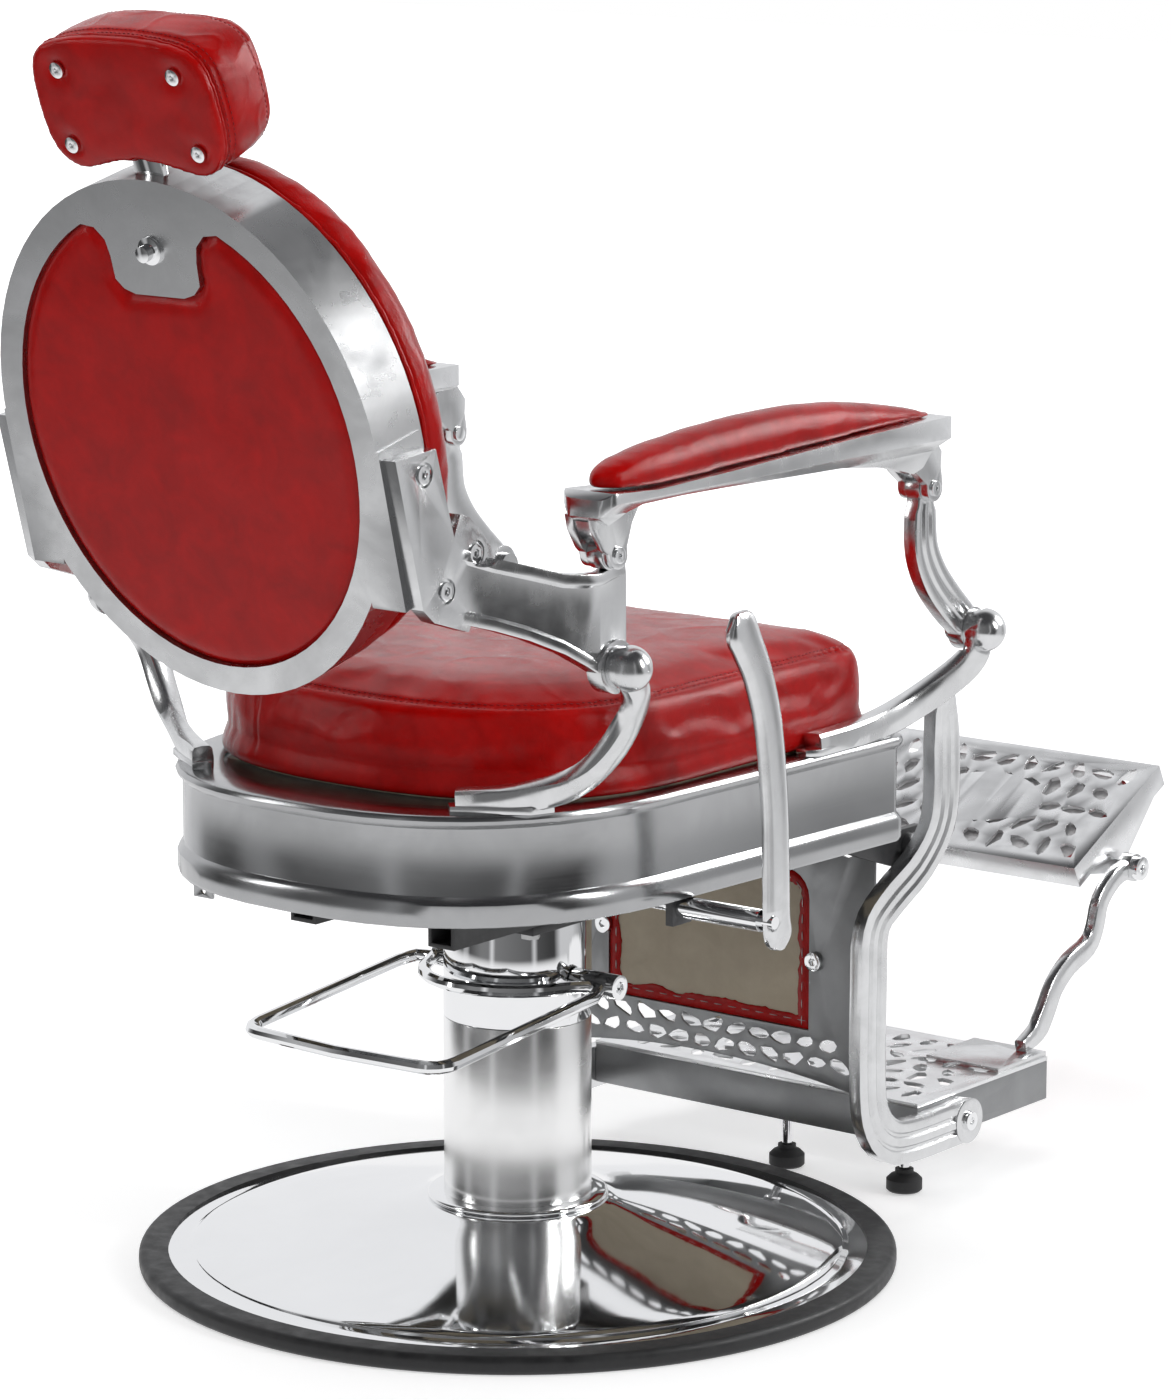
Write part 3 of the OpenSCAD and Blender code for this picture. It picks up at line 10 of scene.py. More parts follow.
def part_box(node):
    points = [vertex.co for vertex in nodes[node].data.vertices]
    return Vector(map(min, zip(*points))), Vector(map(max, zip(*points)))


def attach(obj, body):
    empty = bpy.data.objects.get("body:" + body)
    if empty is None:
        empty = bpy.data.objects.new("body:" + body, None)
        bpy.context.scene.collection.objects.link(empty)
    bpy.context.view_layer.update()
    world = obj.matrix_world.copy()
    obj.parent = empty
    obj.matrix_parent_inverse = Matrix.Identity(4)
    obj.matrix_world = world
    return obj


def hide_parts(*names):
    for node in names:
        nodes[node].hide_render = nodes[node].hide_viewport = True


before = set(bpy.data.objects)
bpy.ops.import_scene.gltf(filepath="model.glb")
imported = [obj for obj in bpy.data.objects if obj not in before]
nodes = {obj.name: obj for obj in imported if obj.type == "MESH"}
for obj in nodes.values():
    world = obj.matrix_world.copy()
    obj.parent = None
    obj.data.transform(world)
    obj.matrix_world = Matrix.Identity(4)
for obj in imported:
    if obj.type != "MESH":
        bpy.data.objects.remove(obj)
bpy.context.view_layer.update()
mm = 0.001
print("stage: frame loaded,", len(nodes), "nodes")

# Camera, floor and light

studio = {
    "azimuth": 218.2,
    "elevation": 11.1,
    "distance": 4.7813,
    "target": (-0.049, -0.0386, 0.5255),
    "lens": 135.54,
    "sensor": 36,
    "clipEnd": 60,
    "floorRadius": 14.0,
    "floorCloud": 1.3,
    "floorRough": 0.9,
    "floorShine": 0.1,
    "floorTones": ((0.80, 0.80, 0.81, 1), (0.83, 0.83, 0.83, 1)),
    "floorGlow": (0.46, 1.2),  # near the chair and far from it
    "glowReach": (0.7, 3.0),
    "skyLevel": 0.42,
    "ceiling": (0.05, 0.05, 0.054, 1),
    "ceilingHeights": (0.35, 0.8),
    "behind": (0.62, -0.78, 0.0),  # towards the backdrop
    "backdropLift": 0.55,
    "paleReach": (1.5, 2.7),
    "paleLevel": (0.94, 0.94, 0.95, 1),
    "panelTint": (0.985, 0.99, 1.01),
    # Where on the way round, as a share of a turn, and how bright
    "horizon": [(0.0, 0.05), (0.02, 0.05), (0.05, 0.6), (0.12, 0.6), (0.16, 0.3), (0.21, 0.88),
                (0.50, 0.88), (0.54, 0.2), (0.57, 0.05), (0.60, 0.05), (0.615, 0.4), (0.63, 0.4),
                (0.645, 0.08), (0.70, 0.2), (0.735, 0.2), (0.75, 0.7), (0.765, 0.2), (0.84, 0.16),
                (0.915, 0.12), (0.93, 0.6), (0.945, 0.08), (1.0, 0.05)],
}
# A lamp that is not seen stays out of the reflections, and the glint lamp is in them alone
lamps = {
    "keyLamp": {"place": (-2.6, 3.4, 2.6), "aim": (0, 0.1, 0.6), "size": (0.8, 0.8), "power": 36,
                "seen": False},
    "sideLamp": {"place": (-3.2, -0.8, 2.0), "aim": (0, 0, 0.5), "size": (0.25, 1.5), "power": 34},
    "glintLamp": {"place": (-1.6, -2.2, 1.9), "aim": (0, 0.2, 0.95), "size": (0.9, 1.3), "power": 40,
                  "lights": False},
    "topLamp": {"place": (0.6, 0.2, 3.4), "aim": (0, 0, 0.5), "size": (2.2, 2.2), "power": 30, "seen": False},
    "rearLamp": {"place": (2.4, 2.4, 1.6), "aim": (0, 0.2, 0.6), "size": (0.3, 1.2), "power": 8},
}


def show(thing):
    bpy.context.scene.collection.objects.link(thing)


def makeCamera():
    a = math.radians(studio["azimuth"])
    e = math.radians(studio["elevation"])
    back = Vector((math.sin(a) * math.cos(e), -math.cos(a) * math.cos(e), math.sin(e)))
    data = bpy.data.cameras.new("camera")
    data.lens = studio["lens"]
    data.sensor_width = studio["sensor"]
    data.clip_end = studio["clipEnd"]
    camera = bpy.data.objects.new("camera", data)
    camera.location = Vector(studio["target"]) + back * studio["distance"]
    camera.rotation_euler = (-back).to_track_quat("-Z", "Y").to_euler()
    show(camera)
    bpy.context.scene.camera = camera


def makeLamp(name, place, aim, size, power, seen=True, lights=True):
    data = bpy.data.lights.new(name, "AREA")
    data.shape = "RECTANGLE"
    data.size, data.size_y = size
    data.energy = power
    lamp = bpy.data.objects.new(name, data)
    lamp.location = place
    lamp.visible_glossy = seen
    lamp.visible_diffuse = lights
    lamp.rotation_euler = (Vector(aim) - Vector(place)).to_track_quat("-Z", "Y").to_euler()
    show(lamp)


def addNode(tree, kind, **settings):
    node = tree.nodes.new(kind)
    for key, value in settings.items():
        setattr(node, key, value)
    return node


def wire(tree, start, end):
    tree.links.new(start, end)


def ownPlace(tree):
    # Where a point is on its own piece
    return addNode(tree, "ShaderNodeTexCoord").outputs["Object"]


def feed(tree, socket, value):
    # A number or colour is set on the socket, and anything else is wired to it
    if isinstance(value, (int, float, tuple)):
        socket.default_value = value
    else:
        wire(tree, value, socket)


def calculate(tree, operation, first, second=None):
    node = addNode(tree, "ShaderNodeMath", operation=operation)
    feed(tree, node.inputs[0], first)
    if second is not None:
        feed(tree, node.inputs[1], second)
    return node.outputs[0]


def spread(tree, value, low, high, toLow=0.0, toHigh=1.0, shape="LINEAR"):
    node = addNode(tree, "ShaderNodeMapRange", interpolation_type=shape)
    wire(tree, value, node.inputs["Value"])
    for name, limit in (("From Min", low), ("From Max", high), ("To Min", toLow), ("To Max", toHigh)):
        feed(tree, node.inputs[name], limit)
    return node.outputs["Result"]


def newGroup(name, inputs, outputs):
    group = bpy.data.node_groups.new(name, "ShaderNodeTree")
    for title, kind, value in inputs:
        socket = group.interface.new_socket(title, in_out="INPUT", socket_type="NodeSocket" + kind)
        socket.default_value = value
    for title, kind in outputs:
        group.interface.new_socket(title, in_out="OUTPUT", socket_type="NodeSocket" + kind)
    return group, addNode(group, "NodeGroupInput"), addNode(group, "NodeGroupOutput")


def makeHorizonGroup():
    # Level seen towards each side: pale backdrop behind the chair, dim room with soft panels before it
    group, source, out = newGroup("horizon", [("Direction", "Vector", (0, 0, 0))], [("Color", "Color")])
    split = addNode(group, "ShaderNodeSeparateXYZ")
    wire(group, source.outputs[0], split.inputs[0])
    turn = calculate(group, "ARCTAN2", split.outputs["Y"], split.outputs["X"])
    way = calculate(group, "DIVIDE", calculate(group, "ADD", turn, math.pi), 2 * math.pi)
    ramp = addNode(group, "ShaderNodeValToRGB")
    wire(group, way, ramp.inputs[0])
    stops = studio["horizon"]
    while len(ramp.color_ramp.elements) < len(stops):
        ramp.color_ramp.elements.new(0.5)
    for element, (where, level) in zip(ramp.color_ramp.elements, stops):
        element.position = where
        element.color = (*(level * share for share in studio["panelTint"]), 1)
    wire(group, ramp.outputs[0], out.inputs[0])
    return group


def mixColor(tree, factor, first, second, blend="MIX"):
    node = addNode(tree, "ShaderNodeMix", data_type="RGBA", blend_type=blend)
    for name, value in (("Factor", factor), ("A", first), ("B", second)):
        feed(tree, node.inputs[name], value)
    return node.outputs["Result"]


def mixShader(tree, factor, first, second):
    node = addNode(tree, "ShaderNodeMixShader")
    for socket, value in zip(node.inputs, (factor, first, second)):
        wire(tree, value, socket)
    return node.outputs[0]


def background(tree, color, strength=1.0):
    node = addNode(tree, "ShaderNodeBackground")
    feed(tree, node.inputs["Color"], color)
    node.inputs["Strength"].default_value = strength
    return node.outputs[0]


horizonGroup = makeHorizonGroup()


def makeWorld():
    world = bpy.data.worlds.new("studio")
    bpy.context.scene.world = world
    world.use_nodes = True
    tree = world.node_tree
    tree.nodes.clear()
    out = addNode(tree, "ShaderNodeOutputWorld")
    way = addNode(tree, "ShaderNodeTexCoord").outputs["Generated"]
    split = addNode(tree, "ShaderNodeSeparateXYZ")
    wire(tree, way, split.inputs[0])
    around = addNode(tree, "ShaderNodeGroup", node_tree=horizonGroup)
    wire(tree, way, around.inputs[0])
    # The backdrop reaches higher than the rest of the room
    behind = addNode(tree, "ShaderNodeVectorMath", operation="DOT_PRODUCT")
    wire(tree, way, behind.inputs[0])
    behind.inputs[1].default_value = studio["behind"]
    toward = calculate(tree, "MAXIMUM", behind.outputs["Value"], 0.0)
    lowered = calculate(tree, "MULTIPLY", toward, studio["backdropLift"])
    height = calculate(tree, "SUBTRACT", split.outputs["Z"], lowered)
    share = spread(tree, height, *studio["ceilingHeights"], shape="SMOOTHSTEP")
    room = mixColor(tree, share, around.outputs[0], studio["ceiling"])
    path = addNode(tree, "ShaderNodeLightPath")
    plain = background(tree, (1, 1, 1, 1), studio["skyLevel"])
    white = background(tree, (1, 1, 1, 1))
    panels = background(tree, room)
    seen = calculate(tree, "MAXIMUM", path.outputs["Is Glossy Ray"], path.outputs["Is Transmission Ray"])
    lit = mixShader(tree, seen, plain, panels)
    wire(tree, mixShader(tree, path.outputs["Is Camera Ray"], lit, white), out.inputs[0])


def makeFloor():
    mesh = bpy.data.meshes.new("floor")
    r = studio["floorRadius"]
    mesh.from_pydata([(-r, -r, 0), (r, -r, 0), (r, r, 0), (-r, r, 0)], [], [(0, 1, 2, 3)])
    floor = bpy.data.objects.new("floor", mesh)
    show(floor)
    material = bpy.data.materials.new("paleFloor")
    material.use_nodes = True
    tree = material.node_tree
    shader = tree.nodes["Principled BSDF"]
    place = ownPlace(tree)
    cloud = addNode(tree, "ShaderNodeTexNoise")
    cloud.inputs["Scale"].default_value = studio["floorCloud"]
    ramp = addNode(tree, "ShaderNodeValToRGB")
    for element, tone in zip(ramp.color_ramp.elements, studio["floorTones"]):
        element.color = tone
    wire(tree, cloud.outputs["Fac"], ramp.inputs[0])
    wire(tree, ramp.outputs[0], shader.inputs["Base Color"])
    shader.inputs["Roughness"].default_value = studio["floorRough"]
    shader.inputs["Specular IOR Level"].default_value = studio["floorShine"]
    path = addNode(tree, "ShaderNodeLightPath")
    far = addNode(tree, "ShaderNodeVectorMath", operation="LENGTH")
    wire(tree, place, far.inputs[0])
    glow = spread(tree, far.outputs["Value"], *studio["glowReach"], *studio["floorGlow"])
    shown = calculate(tree, "MULTIPLY", path.outputs["Is Camera Ray"], glow)
    wire(tree, shown, shader.inputs["Emission Strength"])
    shader.inputs["Emission Color"].default_value = (1, 1, 1, 1)
    # Metal sees the floor pale round the base and as dim as the room farther off
    around = addNode(tree, "ShaderNodeGroup", node_tree=horizonGroup)
    wire(tree, place, around.inputs[0])
    away = spread(tree, far.outputs["Value"], *studio["paleReach"], shape="SMOOTHSTEP")
    image = addNode(tree, "ShaderNodeEmission")
    wire(tree, mixColor(tree, away, studio["paleLevel"], around.outputs[0]), image.inputs["Color"])
    surface = mixShader(tree, path.outputs["Is Glossy Ray"], shader.outputs[0], image.outputs[0])
    wire(tree, surface, tree.nodes["Material Output"].inputs["Surface"])
    mesh.materials.append(material)


makeCamera()
makeWorld()
makeFloor()
for name, values in lamps.items():
    makeLamp(name, **values)
bpy.context.scene.view_settings.view_transform = "Standard"
print("stage: studio ready")

# Shader node groups shared by several materials


def noiseFac(tree, vector, scale, detail=3.0, rough=0.5, distortion=0.0):
    node = addNode(tree, "ShaderNodeTexNoise")
    wire(tree, vector, node.inputs["Vector"])
    feed(tree, node.inputs["Scale"], scale)
    node.inputs["Detail"].default_value = detail
    node.inputs["Roughness"].default_value = rough
    node.inputs["Distortion"].default_value = distortion
    return node.outputs["Fac"]


def scaled(tree, vector, size):
    node = addNode(tree, "ShaderNodeMapping")
    wire(tree, vector, node.inputs["Vector"])
    node.inputs["Scale"].default_value = size
    return node.outputs["Vector"]


def weighted(tree, first, firstShare, second, secondShare):
    one = calculate(tree, "MULTIPLY", first, firstShare)
    two = calculate(tree, "MULTIPLY", second, secondShare)
    return calculate(tree, "ADD", one, two)


skinOutputs = [("Color", "Color"), ("Roughness", "Float"), ("Height", "Float")]
vinylSkin = {"cloudScale": 24.0, "cloudShare": 0.75, "spotScale": 90.0, "spotShare": 0.25,
             "tones": (0.36, 0.64), "roughScale": 40.0, "roughness": (0.13, 0.27),
             "grainScale": 850.0, "grain": 0.11, "foldScale": 26.0, "foldStretch": (1.0, 3.2, 1.4),
             "specular": 0.22, "depth": 0.0012}
metalSkin = {"streakScale": 10.0, "patchShare": 0.5, "streakShare": 0.5, "roughEnds": (0.25, 0.75),
             "depth": 0.0002}
plainSkin = {"depth": 0.0006}
splitSkin = {"scale": 60.0, "dirt": 0.25, "bump": 0.05, "depth": 0.0004}
# Most values of a noise lie between these
noiseEnds = (0.3, 0.7)


def makeVinylGroup():
    inputs = [("Light", "Color", (0.5, 0.01, 0.015, 1)), ("Dark", "Color", (0.2, 0.003, 0.006, 1)),
              ("Wrinkles", "Float", 0.5)]
    group, source, out = newGroup("vinylSkin", inputs, skinOutputs)
    place = ownPlace(group)
    cloud = noiseFac(group, place, vinylSkin["cloudScale"], 5.0, 0.62, 0.6)
    spots = noiseFac(group, place, vinylSkin["spotScale"], 4.0, 0.7)
    mottle = weighted(group, cloud, vinylSkin["cloudShare"], spots, vinylSkin["spotShare"])
    tone = spread(group, mottle, *vinylSkin["tones"])
    wire(group, mixColor(group, tone, source.outputs["Dark"], source.outputs["Light"]), out.inputs["Color"])
    worn = noiseFac(group, place, vinylSkin["roughScale"], 4.0, 0.6)
    wire(group, spread(group, worn, *noiseEnds, *vinylSkin["roughness"]), out.inputs["Roughness"])
    cells = addNode(group, "ShaderNodeTexVoronoi", feature="DISTANCE_TO_EDGE")
    wire(group, place, cells.inputs["Vector"])
    cells.inputs["Scale"].default_value = vinylSkin["grainScale"]
    grain = spread(group, cells.outputs["Distance"], 0.0, 0.3)
    stretched = scaled(group, place, vinylSkin["foldStretch"])
    folds = noiseFac(group, stretched, vinylSkin["foldScale"], 4.0, 0.6, 1.6)
    creases = calculate(group, "ABSOLUTE", calculate(group, "SUBTRACT", folds, 0.5))
    lines = calculate(group, "POWER", creases, 0.5)
    height = weighted(group, grain, vinylSkin["grain"], lines, source.outputs["Wrinkles"])
    wire(group, height, out.inputs["Height"])
    return group


def makeMetalGroup():
    inputs = [("Base", "Color", (0.8, 0.8, 0.8, 1)), ("Cloud", "Float", 0.1), ("Smooth", "Float", 0.1),
              ("Rough", "Float", 0.3), ("Brush", "Vector", (1, 1, 1)), ("Scale", "Float", 20.0)]
    group, source, out = newGroup("metalSkin", inputs, skinOutputs)
    place = ownPlace(group)
    cloud = noiseFac(group, place, source.outputs["Scale"], 5.0, 0.6, 0.4)
    level = spread(group, cloud, *noiseEnds)
    shade = calculate(group, "SUBTRACT", 1.0, calculate(group, "MULTIPLY", level, source.outputs["Cloud"]))
    tint = addNode(group, "ShaderNodeCombineColor")
    for name in ("Red", "Green", "Blue"):
        wire(group, shade, tint.inputs[name])
    color = mixColor(group, 1.0, source.outputs["Base"], tint.outputs[0], "MULTIPLY")
    wire(group, color, out.inputs["Color"])
    brushed = addNode(group, "ShaderNodeVectorMath", operation="MULTIPLY")
    wire(group, place, brushed.inputs[0])
    wire(group, source.outputs["Brush"], brushed.inputs[1])
    streak = noiseFac(group, brushed.outputs[0], metalSkin["streakScale"], 3.0, 0.65)
    mixed = weighted(group, level, metalSkin["patchShare"], streak, metalSkin["streakShare"])
    rough = spread(group, mixed, *metalSkin["roughEnds"], source.outputs["Smooth"], source.outputs["Rough"])
    wire(group, rough, out.inputs["Roughness"])
    wire(group, streak, out.inputs["Height"])
    return group


vinylGroup = makeVinylGroup()
metalGroup = makeMetalGroup()


def startMaterial(name):
    material = bpy.data.materials.new(name)
    material.use_nodes = True
    return material, material.node_tree, material.node_tree.nodes["Principled BSDF"]


def bumpInto(tree, shader, height, strength, distance):
    bump = addNode(tree, "ShaderNodeBump")
    bump.inputs["Strength"].default_value = strength
    bump.inputs["Distance"].default_value = distance
    wire(tree, height, bump.inputs["Height"])
    wire(tree, bump.outputs[0], shader.inputs["Normal"])


def skinned(name, group, values, strength, depth):
    # A material that takes its colour, roughness and relief from a shared group
    material, tree, shader = startMaterial(name)
    skin = addNode(tree, "ShaderNodeGroup", node_tree=group)
    for title, value in values.items():
        skin.inputs[title].default_value = value
    wire(tree, skin.outputs["Color"], shader.inputs["Base Color"])
    wire(tree, skin.outputs["Roughness"], shader.inputs["Roughness"])
    bumpInto(tree, shader, skin.outputs["Height"], strength, depth)
    return material, shader


def metal(name, base, cloud, rough, brush, scale=20.0, bump=0.1):
    values = {"Base": base + (1,), "Cloud": cloud, "Smooth": rough[0], "Rough": rough[1], "Brush": brush,
              "Scale": scale}
    material, shader = skinned(name, metalGroup, values, bump, metalSkin["depth"])
    shader.inputs["Metallic"].default_value = 1.0
    return material


def vinyl(name, light, dark, wrinkles, bump):
    values = {"Light": light + (1,), "Dark": dark + (1,), "Wrinkles": wrinkles}
    material, shader = skinned(name, vinylGroup, values, bump, vinylSkin["depth"])
    shader.inputs["Specular IOR Level"].default_value = vinylSkin["specular"]
    return material


def plainNoise(name, low, high, scale, rough, bump=0.15, distortion=0.0):
    material, tree, shader = startMaterial(name)
    place = ownPlace(tree)
    value = noiseFac(tree, place, scale, 5.0, 0.6, distortion)
    tone = spread(tree, value, *noiseEnds)
    wire(tree, mixColor(tree, tone, low + (1,), high + (1,)), shader.inputs["Base Color"])
    wire(tree, spread(tree, value, *noiseEnds, *rough), shader.inputs["Roughness"])
    bumpInto(tree, shader, value, bump, plainSkin["depth"])
    return material


def splitFinish(name, upper, lower, direction, level, blend, rough, shine=1.0):
    # One finish beyond a level along a direction on the piece, and another short of it
    material, tree, shader = startMaterial(name)
    place = ownPlace(tree)
    along = addNode(tree, "ShaderNodeVectorMath", operation="DOT_PRODUCT")
    wire(tree, place, along.inputs[0])
    along.inputs[1].default_value = direction
    mask = spread(tree, along.outputs["Value"], level, level + blend)
    value = noiseFac(tree, place, splitSkin["scale"], 4.0, 0.6)
    tone = mixColor(tree, mask, lower + (1,), upper + (1,))
    dirt = spread(tree, value, *noiseEnds, 0.0, splitSkin["dirt"])
    wire(tree, mixColor(tree, dirt, tone, (0, 0, 0, 1)), shader.inputs["Base Color"])
    wire(tree, spread(tree, mask, 0.0, 1.0, 0.0, shine), shader.inputs["Metallic"])
    wire(tree, spread(tree, mask, 0.0, 1.0, *rough), shader.inputs["Roughness"])
    bumpInto(tree, shader, value, splitSkin["bump"], splitSkin["depth"])
    return material


finishes = {
    "chrome": metal("mirrorChrome", (0.90, 0.905, 0.91), cloud=0.04, rough=(0.03, 0.07), brush=(1, 1, 1),
                    scale=8.0, bump=0.01),
    "satinChrome": metal("satinColumn", (0.96, 0.96, 0.955), cloud=0.03, rough=(0.20, 0.28), brush=(1, 1, 4),
                         scale=9.0, bump=0.004),
    "casting": metal("polishedCasting", (0.77, 0.775, 0.78), cloud=0.12, rough=(0.16, 0.30),
                     brush=(6, 6, 1.5), scale=26.0, bump=0.03),
    # The tread and grille: the same cast metal as the other castings, painted lighter as painted light that
    # offsets the shade in the tread's holes
    "treadCastingPaintedLight": metal("treadCastingPaintedLight", (0.88, 0.885, 0.89), cloud=0.10, rough=(0.24, 0.36),
                          brush=(2, 2, 2), scale=30.0, bump=0.02),
    # The back frame: the same cast metal as the other castings, painted darker as painted shade
    "frameCasting": metal("frameCastingPaintedShade", (0.66, 0.665, 0.67), cloud=0.20, rough=(0.20, 0.36),
                          brush=(2, 2, 5), scale=16.0, bump=0.025),
    "brushed": metal("brushedBand", (0.45, 0.455, 0.46), cloud=0.10, rough=(0.16, 0.26),
                     brush=(0.6, 0.6, 90), scale=12.0, bump=0.03),
    "panelSteel": metal("panelSteel", (0.34, 0.345, 0.35), cloud=0.10, rough=(0.36, 0.46), brush=(3, 3, 3),
                        scale=22.0, bump=0.06),
    "steel": metal("plainSteel", (0.6, 0.6, 0.6), cloud=0.15, rough=(0.25, 0.45), brush=(4, 4, 4),
                   scale=30.0, bump=0.15),
    "vinyl": vinyl("redVinyl", (0.43, 0.002, 0.0015), (0.30, 0.0015, 0.001), wrinkles=0.16, bump=0.3),
    "creasedVinyl": vinyl("redVinylCreased", (0.43, 0.002, 0.0015), (0.28, 0.0015, 0.001), wrinkles=0.34,
                          bump=0.4),
    "thread": plainNoise("redThread", (0.16, 0.004, 0.008), (0.30, 0.012, 0.02), scale=400.0,
                         rough=(0.6, 0.8)),
    "rubber": plainNoise("blackRubber", (0.008, 0.008, 0.009), (0.024, 0.024, 0.025), scale=60.0,
                         rough=(0.38, 0.6)),
    "paint": plainNoise("darkPaint", (0.03, 0.03, 0.032), (0.06, 0.06, 0.063), scale=45.0,
                        rough=(0.35, 0.5)),
    "bronze": metal("bearingBronze", (0.62, 0.45, 0.22), cloud=0.2, rough=(0.25, 0.4), brush=(3, 3, 3),
                    scale=30.0),
    "board": plainNoise("bareBoard", (0.46, 0.39, 0.29), (0.56, 0.49, 0.38), scale=30.0, rough=(0.6, 0.8),
                        bump=0.1, distortion=0.4),
    "foot": splitFinish("studAndFoot", (0.86, 0.86, 0.87), (0.02, 0.02, 0.021), direction=(0, 0, 1),
                        level=0.0255, blend=0.0003, rough=(0.6, 0.1)),
    "backed": splitFinish("padAndBacking", (0.86, 0.86, 0.87), (0.42, 0.004, 0.003), shine=0.25,
                          direction=(0, 0.454, 0.891), level=-0.0834, blend=0.0006, rough=(0.3, 0.45)),
}

nodeFinish = {
    "rubber": ["base_ring"],
    "foot": ["leveller_outer", "leveller_inner"],
    "paint": ["base_bottom_plate", "turntable_plate", "seat_chassis", "column_guide_bush"],
    "steel": ["chassis_bolts", "base_bolts", "spindle_cap", "lift_cylinder", "pump_head", "piston_rod",
              "headrest_guide"],
    "chrome": ["base_dome", "column_collar", "column_upper_cover", "pump_lever", "pump_axle", "clamp_knob",
               "link_bolts", "flip_pivot_bolts", "leg_screws", "leveller_nuts", "headrest_screws",
               "lever_shaft", "arm_pins_left", "arm_pins_right", "headrest_post"],
    "satinChrome": ["column_lower_cover"],
    "bronze": ["thrust_washer"],
    "casting": ["ball_pivot_pins", "rear_arms", "front_arms", "leg_castings", "flip_arms", "back_links",
                "armrest_left", "armrest_right", "front_link_left", "front_link_right", "recline_lever"],
    "treadCastingPaintedLight": ["flip_tread", "platform_grille"],
    "frameCasting": ["back_frame"],
    "brushed": ["seat_band"],
    "panelSteel": ["leg_panel", "platform_skirt"],
    "vinyl": ["seat_cushion", "back_cushion", "back_panel", "calf_pad", "flip_pad", "arm_pad_left",
              "arm_pad_right", "headrest_cushion", "headrest_board"],
    "board": ["back_board", "calf_board", "seat_board"],
}


def paint(piece, material):
    piece.data.materials.clear()
    piece.data.materials.append(material)


for finish, names in nodeFinish.items():
    for name in names:
        paint(nodes[name], finishes[finish])


# Welded, bevelled and smoothed edges on the carried-over pieces

edgeRules = {"weld": 0.00002, "sharp": 32, "bevelFrom": 38, "segments": 2}


def makeEdgeGroup():
    group = bpy.data.node_groups.new("smoothEdges", "GeometryNodeTree")
    group.interface.new_socket("Geometry", in_out="INPUT", socket_type="NodeSocketGeometry")
    group.interface.new_socket("Geometry", in_out="OUTPUT", socket_type="NodeSocketGeometry")
    source = addNode(group, "NodeGroupInput")
    out = addNode(group, "NodeGroupOutput")
    smooth = addNode(group, "GeometryNodeSetShadeSmooth")
    sharp = addNode(group, "GeometryNodeSetShadeSmooth", domain="EDGE")
    sharp.inputs["Shade Smooth"].default_value = False
    angle = addNode(group, "GeometryNodeInputMeshEdgeAngle")
    test = addNode(group, "FunctionNodeCompare", operation="GREATER_THAN")
    test.inputs[1].default_value = math.radians(edgeRules["sharp"])
    wire(group, source.outputs[0], smooth.inputs["Geometry"])
    wire(group, smooth.outputs[0], sharp.inputs["Geometry"])
    wire(group, angle.outputs["Unsigned Angle"], test.inputs[0])
    wire(group, test.outputs[0], sharp.inputs["Selection"])
    wire(group, sharp.outputs[0], out.inputs[0])
    return group


edgeGroup = makeEdgeGroup()
# Bevel widths in mm
bevelled = {
    2.5: ["back_frame", "armrest_left", "armrest_right"],
    2.0: ["back_links"],
    1.5: ["flip_pivot_bolts"],
    1.2: ["flip_tread", "platform_skirt", "clamp_knob"],
    1.0: ["seat_band", "link_bolts", "leg_screws", "headrest_screws", "turntable_plate", "seat_chassis"],
    0.8: ["platform_grille", "recline_lever", "pump_lever", "flip_arms", "front_link_left",
          "front_link_right", "rear_arms", "front_arms"],
    0.6: ["headrest_post", "leg_castings", "arm_pins_left", "arm_pins_right", "base_bottom_plate"],
    0.5: ["leg_panel", "leveller_nuts"],
    0.4: ["column_lower_cover", "column_upper_cover"],
}
bevels = {name: width for width, names in bevelled.items() for name in names}
for name, node in nodes.items():
    weld = node.modifiers.new("weld", "WELD")
    weld.merge_threshold = edgeRules["weld"]
    if name in bevels:
        bevel = node.modifiers.new("softEdge", "BEVEL")
        bevel.width = bevels[name] * mm
        bevel.segments = edgeRules["segments"]
        bevel.limit_method = "ANGLE"
        bevel.angle_limit = math.radians(edgeRules["bevelFrom"])
    edges = node.modifiers.new("smoothEdges", "NODES")
    edges.node_group = edgeGroup
print("stage: carried pieces finished")

# Tools for the upholstery


def frameAt(origin, lean):
    # The place of a piece that leans back: x across it, y out of its rear, z up it
    return Matrix.Translation(origin) @ Matrix.Rotation(math.radians(-lean), 4, "X")


leans = {"backY": 0.435, "backZ": 0.812, "back": 14, "headRise": 0.285, "headZ": 1.097, "head": 20}
headY = leans["backY"] + leans["headRise"] * math.tan(math.radians(leans["back"]))
backPlace = frameAt((0, leans["backY"], leans["backZ"]), leans["back"])
headPlace = frameAt((0, headY, leans["headZ"]), leans["head"])


def addPiece(name, mesh, material, body):
    piece = bpy.data.objects.new(name, mesh)
    show(piece)
    mesh.materials.clear()
    mesh.materials.append(finishes[material])
    mesh.polygons.foreach_set("use_smooth", [True] * len(mesh.polygons))
    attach(piece, body)
    return piece


def bakeModifiers(piece):
    bpy.context.view_layer.update()
    graph = bpy.context.evaluated_depsgraph_get()
    mesh = bpy.data.meshes.new_from_object(piece.evaluated_get(graph))
    piece.modifiers.clear()
    old = piece.data
    piece.data = mesh
    bpy.data.meshes.remove(old)


def copyShape(name):
    piece = bpy.data.objects.new(name + "Shape", nodes[name].data.copy())
    piece.matrix_world = nodes[name].matrix_world.copy()
    show(piece)
    bm = bmesh.new()
    bm.from_mesh(piece.data)
    bmesh.ops.remove_doubles(bm, verts=bm.verts, dist=edgeRules["weld"])
    bm.to_mesh(piece.data)
    bm.free()
    return piece


# In a pad's values, "held" is how far from its fixed side the cover is pinned, and "cap" its largest swell
clothRules = {"steps": 20, "quality": 4, "factor": 0.5, "relax": 5}


